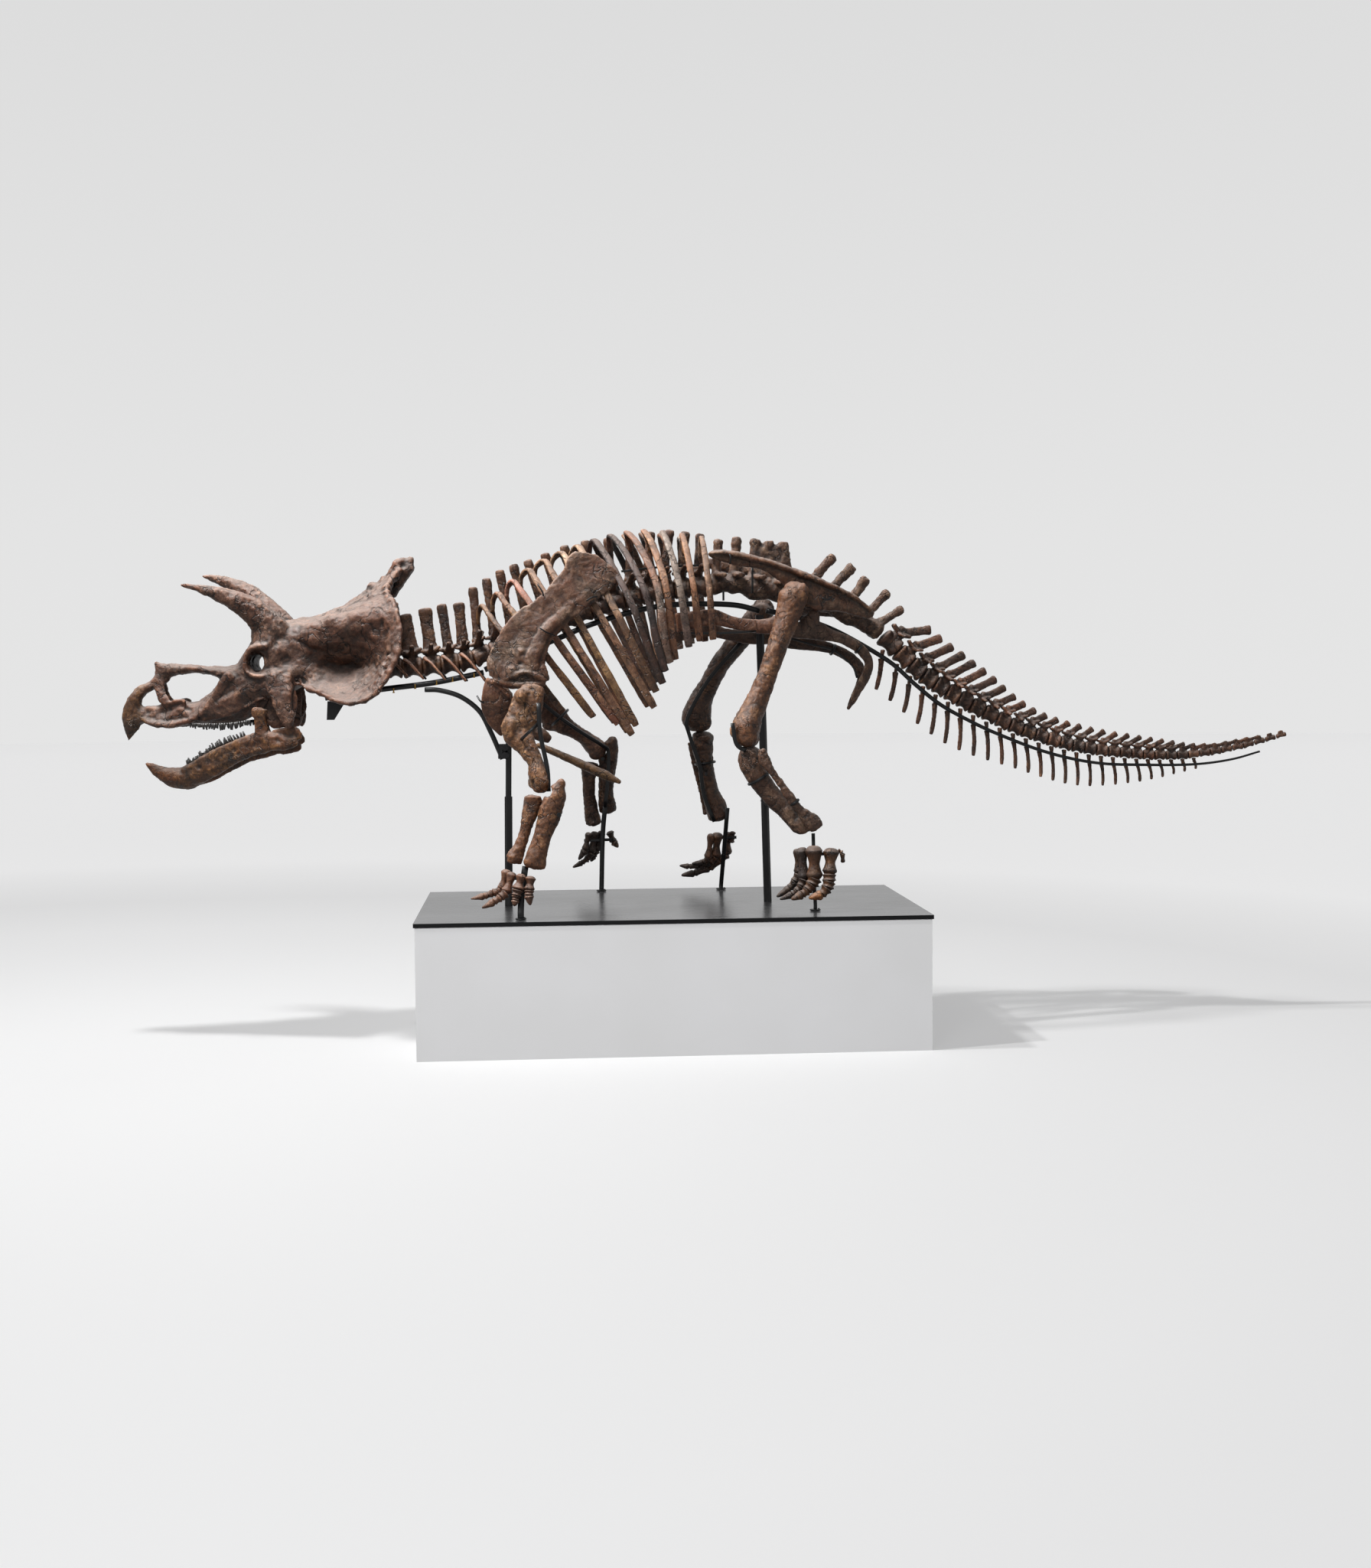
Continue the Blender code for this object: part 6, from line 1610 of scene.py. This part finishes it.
# %% [markdown]
# ## Teeth
#
# The teeth stand in rows like those of a comb. One tapered cone is modelled, and its copies
# differ a little in size and lean.

# %% Tooth helper


def tooth_row(name, places, lengths, lean, side, count=27):
    template = added(bpy.ops.mesh.primitive_cone_add, vertices=8, radius1=0.5, radius2=0.26,
                     depth=1.0, location=(0, 0, 0.5))
    bpy.ops.object.transform_apply(location=True, rotation=True, scale=True)
    bpy.ops.object.shade_smooth()
    random = np.random.default_rng(11 + count + side)
    copies = []
    for i in range(count):
        x, y, z = along(places, i / (count - 1))
        length = along([(0.0, v) for v in lengths], i / (count - 1))[1] * random.uniform(0.7, 1.25)
        copy = template.copy()
        copy.data = template.data.copy()
        bpy.context.scene.collection.objects.link(copy)
        turn = Matrix.Rotation(lean + random.uniform(-0.22, 0.22), 4, "Y")
        size = Matrix.Diagonal((random.uniform(0.0100, 0.0135), 0.012, 1.12 * length, 1.0))
        copy.data.transform(Matrix.Translation((x, side * y, z)) @ turn @ size)
        copies.append(copy)
    bpy.data.objects.remove(template)
    return finish(joined(copies), name, "enamel", "skull_bone")


# %% [markdown]
# ### Teeth
#
# One row stands along each gum, upper and lower, and their lengths swell towards the middle.

# %% Build the teeth
UPPER_GUM = mm([(-1760, 66, 1196), (-1700, 76, 1194), (-1620, 90, 1196), (-1540, 106, 1206)])
LOWER_GUM = mm([(-1780, 26, 1036, 0, 0), (-1730, 44, 1062, 0, 0), (-1680, 60, 1092, 0, 0),
                (-1630, 76, 1116, 0, 0), (-1560, 96, 1146, 0, 0)])
teeth = []
for side, label in SIDE_NAMES.items():
    teeth.append(tooth_row("upper_teeth_" + label, UPPER_GUM, [0.014, 0.020, 0.022, 0.018],
                           math.pi, side))
    gum = [row[:3] for row in hung(LOWER_GUM, side)]
    teeth.append(tooth_row("lower_teeth_" + label, gum, [0.018, 0.022, 0.024, 0.020], -0.40, side))
counted(teeth, "rows of teeth")

# %% [markdown]
# ## Armature
#
# Steel carries everything. Flat bars run along the back of the limb bones and stand on small
# round flanges, thin rods follow the hip bones, and straps, hooks and pins hold single bones.
# All of it is bent by hand, fitted to the bone and painted black, and short brass screws close
# the clamps.

# %% Bar, strap and pin helpers


def bar(points, wide, thick, across=AXIS_X):
    """A flat bar through the points, with nearly square corners."""
    return lofted([(*point, wide, thick) for point in points], RIGHT, sides=16, steps=4,
                  square=0.4, across=across, dome=0)


def turned_to(centre, axis):
    """Puts a piece that was made upright at its centre, with its Z along the axis."""
    turn = Vector(axis).normalized().to_track_quat("Z", "Y").to_matrix().to_4x4()
    return Matrix.Translation(centre) @ turn


def strap(centre, axis, wide, deep, thick=0.0055):
    """A band round a bone, seen from the side as a line square to the axis."""
    body = added(bpy.ops.mesh.primitive_torus_add, major_segments=36, minor_segments=8,
                 major_radius=1.0, minor_radius=thick / wide)
    body.data.transform(turned_to(centre, axis) @ Matrix.Diagonal((wide, deep, wide, 1)))
    return body


def pin(centre, axis, radius, length):
    """A short round bar with a small bevel."""
    body = added(bpy.ops.mesh.primitive_cylinder_add, vertices=20, radius=radius, depth=length)
    bevel = body.modifiers.new("edge", "BEVEL")
    bevel.width = 0.12 * radius
    bevel.segments = 2
    apply_modifiers(body)
    body.data.transform(turned_to(centre, axis))
    return body


# %% [markdown]
# The four bars under the feet are flat, wider near the plate, and each has a flange with a
# bolt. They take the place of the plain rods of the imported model.

# %% Build the leg bars
LEG_BARS = mm({
    "fore_left": [(-550, -440, 493), (-550, -438, 522), (-546, -412, 585), (-532, -406, 680)],
    "fore_right": [(-238, 415, 493), (-237, 412, 522), (-232, 372, 720), (-222, 342, 840)],
    "hind_left": [(523, -326, 493), (523, -326, 522), (521, -314, 600), (520, -302, 775)],
    "hind_right": [(245, 409, 493), (246, 406, 522), (252, 358, 640), (262, 290, 830)]})
BAR_WIDTHS = mm({"fore_left": 11.5, "fore_right": 9.5, "hind_left": 6.5, "hind_right": 8.5})
BAR_THICKNESS = 0.0045
steelwork = []
for name, points in LEG_BARS.items():
    foot = Vector(points[0])
    parts = [bar(points, BAR_WIDTHS[name], BAR_THICKNESS),
             pin(foot + Vector((0, 0, 0.003)), AXIS_Z, 0.020, 0.006),
             pin(foot + Vector((0.013, 0, 0.006)), AXIS_Z, 0.003, 0.006),
             pin(Vector(points[2]) + Vector((0, -0.004, 0)), AXIS_Y, 0.0028, 0.005)]
    steelwork.append(finish(joined(parts), "leg_bar_" + name, "black", "armature_black",
                            "stand_rod_" + name))
counted(steelwork, "leg bars")

# %% [markdown]
# A long rail runs under the backbone in three lengths, from the skull to the tail, and a curved
# strut ties its front to the post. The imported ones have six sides, so each is drawn again as a
# smooth round bar on the same line.

# %% Build the rails and the strut
RAILS = mm({
    "stand_rail_neck": [(-1275, 0, 1283), (-1062, 0, 1314), (-870, 0, 1337), (-684, 0, 1374)],
    "stand_rail_back": [(-680, 0, 1384), (-410, 0, 1497), (-277, 0, 1552), (-124, 0, 1598),
                        (0, 0, 1621), (120, 0, 1627), (266, 0, 1622), (360, 0, 1600)],
    "stand_rail_tail": [(385, -14.5, 1600), (500, -14.5, 1575), (620, -14.5, 1535),
                        (734, -14.5, 1478), (864, -14.5, 1398), (956, -14.5, 1316),
                        (1051, -14.5, 1240), (1155, -14.5, 1181), (1280, -14.5, 1122),
                        (1472, -14.5, 1050), (1662, -14.5, 1008), (1855, -14.5, 998),
                        (2049, -14.5, 998), (2195, -14.5, 1015), (2310, -14.5, 1045)],
    "stand_neck_strut": [(-905, 0, 1311), (-848, -2, 1308), (-770, -6, 1283), (-701, -12, 1228),
                         (-660, -16, 1150), (-628, -20, 1075), (-617, -22, 1048)]})
RAIL_GIRTHS = {"stand_rail_tail": (0.0105, 0.0040), "stand_neck_strut": (0.0095, 0.0095)}
USUAL_GIRTHS = (0.0105, 0.0105)
rails = []
for name, points in RAILS.items():
    girths = np.linspace(*RAIL_GIRTHS.get(name, USUAL_GIRTHS), len(points))
    rows = [(*point, girth, girth) for point, girth in zip(points, girths)]
    rails.append(finish(lofted(rows, steps=8, dome=0), name.replace("stand", "smooth"), "black",
                        "armature_black", name))
counted(rails, "rails and strut")

# %% [markdown]
# Rods and straps lie on the bones themselves: behind the elbow, along the far thigh and shin,
# under the near shin, along the hip bones and under the row of spines.

# %% Build the bars on the bones
RODS = mm({
    "humerus_left": ([(-478, -366, 1262), (-474, -368, 1155), (-450, -374, 1030),
                      (-446, -374, 945)], 8, 5),
    "humerus_right": ([(-472, 245, 1259), (-400, 258, 1199), (-316, 280, 1139), (-232, 305, 1085),
                       (-208, 322, 1060), (-210, 334, 960), (-222, 342, 840)], 7, 6),
    "thigh_right": ([(322, 190, 1498), (185, 200, 1343), (101, 212, 1194), (107, 232, 1128),
                     (149, 262, 1007), (168, 285, 886), (210, 300, 777)], 7.5, 5),
    "knee_left": ([(222.5, -330, 1182), (230, -334, 1125), (242, -332, 1098), (270, -326, 1082)],
                  7.5, 5),
    "shin_left": ([(335, -262, 900), (400, -264, 848), (451, -268, 808), (512, -275, 786)], 8, 3),
    "pubis": ([(50, -165, 1514), (190, -165, 1512), (330, -162, 1519)], 4, 4),
    "ischium": ([(493, 90, 1496), (575, 88, 1472), (657, 82, 1449), (728, 74, 1390),
                 (746, 66, 1343)], 4, 4),
    "back": ([(-165, -62, 1747), (0, -62, 1764), (162, -62, 1769)], 4, 4),
    "hip_post": ([(323, -110, 1760), (322, -110, 1662)], 4, 4),
    "far_forefoot": ([(-306, 400, 700), (-190, 404, 702)], 6, 3),
    "near_hindfoot": ([(470, -332, 700), (582, -336, 702)], 6, 3),
    "far_hindfoot": ([(222, 372, 706), (306, 380, 706)], 6, 3),
    "near_forefoot": ([(-590, -412, 640), (-520, -436, 636)], 6, 3)})
bars = []
for name, (points, wide, thick) in RODS.items():
    level = abs(points[-1][0] - points[0][0]) > abs(points[-1][2] - points[0][2])
    bars.append(finish(bar(points, wide, thick, AXIS_Z if level else AXIS_X), "bar_" + name,
                       "black", "armature_black"))
counted(bars, "bars on the bones")

# %% [markdown]
# Small parts come last: straps round shafts, hooks over the blade's edges, the clamp that ties
# the neck's strut to the front post, and the brass screws under the neck's rail.

# %% Build straps, hooks and screws
STRAPS = [((-0.512, -0.322, 1.160), (0.69, 0.0, -0.725), 0.072, 0.046),
          ((-0.398, 0.305, 1.196), (0.68, 0.0, -0.73), 0.056, 0.044),
          ((0.322, -0.286, 0.978), (0.51, 0.0, -0.86), 0.044, 0.042),
          ((0.446, -0.347, 0.893), (0.55, 0.0, -0.83), 0.019, 0.016),
          ((0.176, 0.310, 1.010), (0.13, 0.0, -0.99), 0.038, 0.038),
          ((0.724, -0.098, 1.452), (0.80, 0.0, -0.60), 0.024, 0.018),
          ((0.657, 0.100, 1.452), (0.90, 0.0, -0.40), 0.026, 0.020)]
HOOKS = mm([
    [(-476, -236, 1690), (-462, -244, 1668), (-456, -240, 1650)],
    [(-300, -244, 1630), (-282, -246, 1642), (-262, -240, 1646)],
    [(-470, -272, 1532), (-450, -276, 1518), (-420, -250, 1506)],
    [(-700, -236, 1286), (-690, -250, 1270), (-678, -250, 1262)],
    [(228, -200, 1804), (232, -208, 1786), (230, -200, 1766)],
    [(574, -182, 1640), (594, -186, 1632), (608, -182, 1642)]])
PINS = [((-0.410, -0.434, 0.864), AXIS_Y, 0.0085, 0.012),
        ((-0.230, 0.340, 1.030), AXIS_Y, 0.008, 0.012),
        ((-0.606, -0.020, 1.092), AXIS_Y, 0.013, 0.050),
        ((-0.606, -0.020, 1.062), AXIS_Y, 0.013, 0.050),
        ((-0.618, -0.020, 1.077), AXIS_Z, 0.016, 0.056),
        ((0.176, 0.262, 0.968), AXIS_Y, 0.006, 0.012),
        ((0.398, -0.322, 0.974), AXIS_Y, 0.006, 0.020),
        ((0.222, -0.020, 1.655), AXIS_Z, 0.004, 0.034)]
small = [strap(*numbers) for numbers in STRAPS]
small += [bar(points, 0.006, 0.003, AXIS_Y) for points in HOOKS]
small += [pin(*numbers) for numbers in PINS]
small = finish(joined(small), "armature_fittings", "black", "armature_black")
SCREW_PLACES = (-1.020, -0.940, -0.860, -0.800, -0.720)
RAIL_START_X, RAIL_START_Z, RAIL_SLOPE = -1.062, 1.316, 0.1825
screws = []
for x in SCREW_PLACES:
    rail_z = RAIL_START_Z + (x - RAIL_START_X) * RAIL_SLOPE
    screws += [pin((x, -0.012, rail_z - 0.014), AXIS_Z, 0.0026, 0.016),
               pin((x, -0.012, rail_z - 0.022), AXIS_Z, 0.0044, 0.004)]
screws = finish(joined(screws), "armature_screws", "brass", "armature_black")
counted([small, screws], "fittings and screws")

# %% [markdown]
# ## Studio
#
# The mount stands on pale paper that runs up into a pale backdrop with no edge between them. A
# large shell stands in for the backdrop all round, and it gives no light of its own to the
# bones. One small lamp high over the head throws the crisp shadows, a far one from the upper
# left gives the tail and the ribs theirs, and a broad weak one in front puts the sheen on
# the shafts. The floor's glow makes up for the light that the paper behind would send back.
# One more large lamp stands over the bones and one before the plinth, each lighting only those.

# %% Floor, backdrop and lights
LAMP_FOOT = (-2.0, -0.6)
GLOW_REACH = 14.0
SHELL_RADIUS = 38.0


def studio_floor():
    floor = added(bpy.ops.mesh.primitive_plane_add, size=80.0, location=(0.0, 0.0, 0.0))
    floor.name = "studio_floor"
    made, tree, shader, place = new_material("studio_paper")
    shifted = node(tree, "Mapping", {"vector_type": "POINT"}, Vector=place,
                   Location=(-LAMP_FOOT[0] / GLOW_REACH, -LAMP_FOOT[1] / GLOW_REACH, 0.0),
                   Scale=(1 / GLOW_REACH, 1 / GLOW_REACH, 1 / GLOW_REACH)).outputs[0]
    away = node(tree, "TexGradient", {"gradient_type": "SPHERICAL"},
                Vector=shifted).outputs[1]
    glow = ramp(tree, away, [(0.0, 0.675), (0.45, 0.66), (0.62, 0.48), (0.72, 0.49), (0.88, 0.42),
                            (1.0, 0.36)])
    plug(tree, shader, Base_Color=rgb("#C8C8C8"), Roughness=0.9, Specular_IOR_Level=0.1,
         Emission_Color=glow, Emission_Strength=0.72)
    floor.data.materials.append(made)
    floor.visible_diffuse = False


def studio_shell():
    shell = added(bpy.ops.mesh.primitive_uv_sphere_add, segments=64, ring_count=32,
                  radius=SHELL_RADIUS)
    shell.name = "studio_backdrop"
    made, tree, shader, place = new_material("studio_backdrop_paper")
    height = node(tree, "SeparateXYZ", Vector=place).outputs[2]
    scaled = node(tree, "Math", {"operation": "MULTIPLY_ADD"}, i0=height, i1=1 / SHELL_RADIUS,
                  i2=0.1).outputs[0]
    # Darker higher up: a painted falloff of the studio light on the backdrop.
    tone = ramp(tree, scaled, [(0.10, "#E5E5E5"), (0.22, "#E4E4E4"), (0.55, "#DCDCDC")])
    plug(tree, shader, Base_Color=(0.0, 0.0, 0.0, 1.0), Roughness=1.0, Specular_IOR_Level=0.0,
         Emission_Color=tone, Emission_Strength=1.0)
    shell.data.materials.append(made)
    shell.visible_diffuse = False
    shell.visible_shadow = False


def lamp(name, kind, place, target, power, size=1.0, only_on=None):
    data = bpy.data.lights.new(name, kind)
    data.energy = power
    if kind == "AREA":
        data.shape = "DISK"
        data.size = size
    else:
        data.angle = size
    body = bpy.data.objects.new(name, data)
    bpy.context.scene.collection.objects.link(body)
    turn = (Vector(place) - Vector(target)).to_track_quat("Z", "Y").to_matrix().to_4x4()
    turn.translation = Vector(place)
    body.matrix_world = turn
    if only_on:
        body.light_linking.receiver_collection = only_on


mount, stand = (bpy.data.collections.new(name) for name in ("mounted_bones", "plinth_and_plate"))
for body in bpy.context.scene.objects:
    if body.type == "MESH":
        (stand if body.name in ("stand_plinth", "stand_plate") else mount).objects.link(body)
studio_floor()
studio_shell()
lamp("key_over_the_head", "AREA", (-2.0, -0.6, 4.3), (-1.4, 0.0, 1.2), 112.0, 0.30)
lamp("far_key_left", "SUN", (-5.0, -1.5, 6.0), (0.0, 0.0, 0.6), 1.1, 0.03)
lamp("front_sheen", "AREA", (-1.8, -6.2, 3.4), (0.2, 0.0, 1.0), 52.0, 2.0)
lamp("bones_from_above", "AREA", (-1.6, -1.5, 4.4), (-0.8, 0.0, 1.2), 220.0, 1.2, mount)
lamp("plinth_front", "AREA", (-0.6, -6.0, 2.6), (0.0, -0.4, 0.2), 150.0, 2.5, stand)
world = bpy.data.worlds.new("studio")
bpy.context.scene.world = world
world.use_nodes = True
world.node_tree.nodes["Background"].inputs[0].default_value = (0.20, 0.20, 0.205, 1.0)
world.node_tree.nodes["Background"].inputs[1].default_value = 1.0
bpy.context.scene.view_settings.view_transform = "Standard"
print("5 lamps, floor and backdrop")
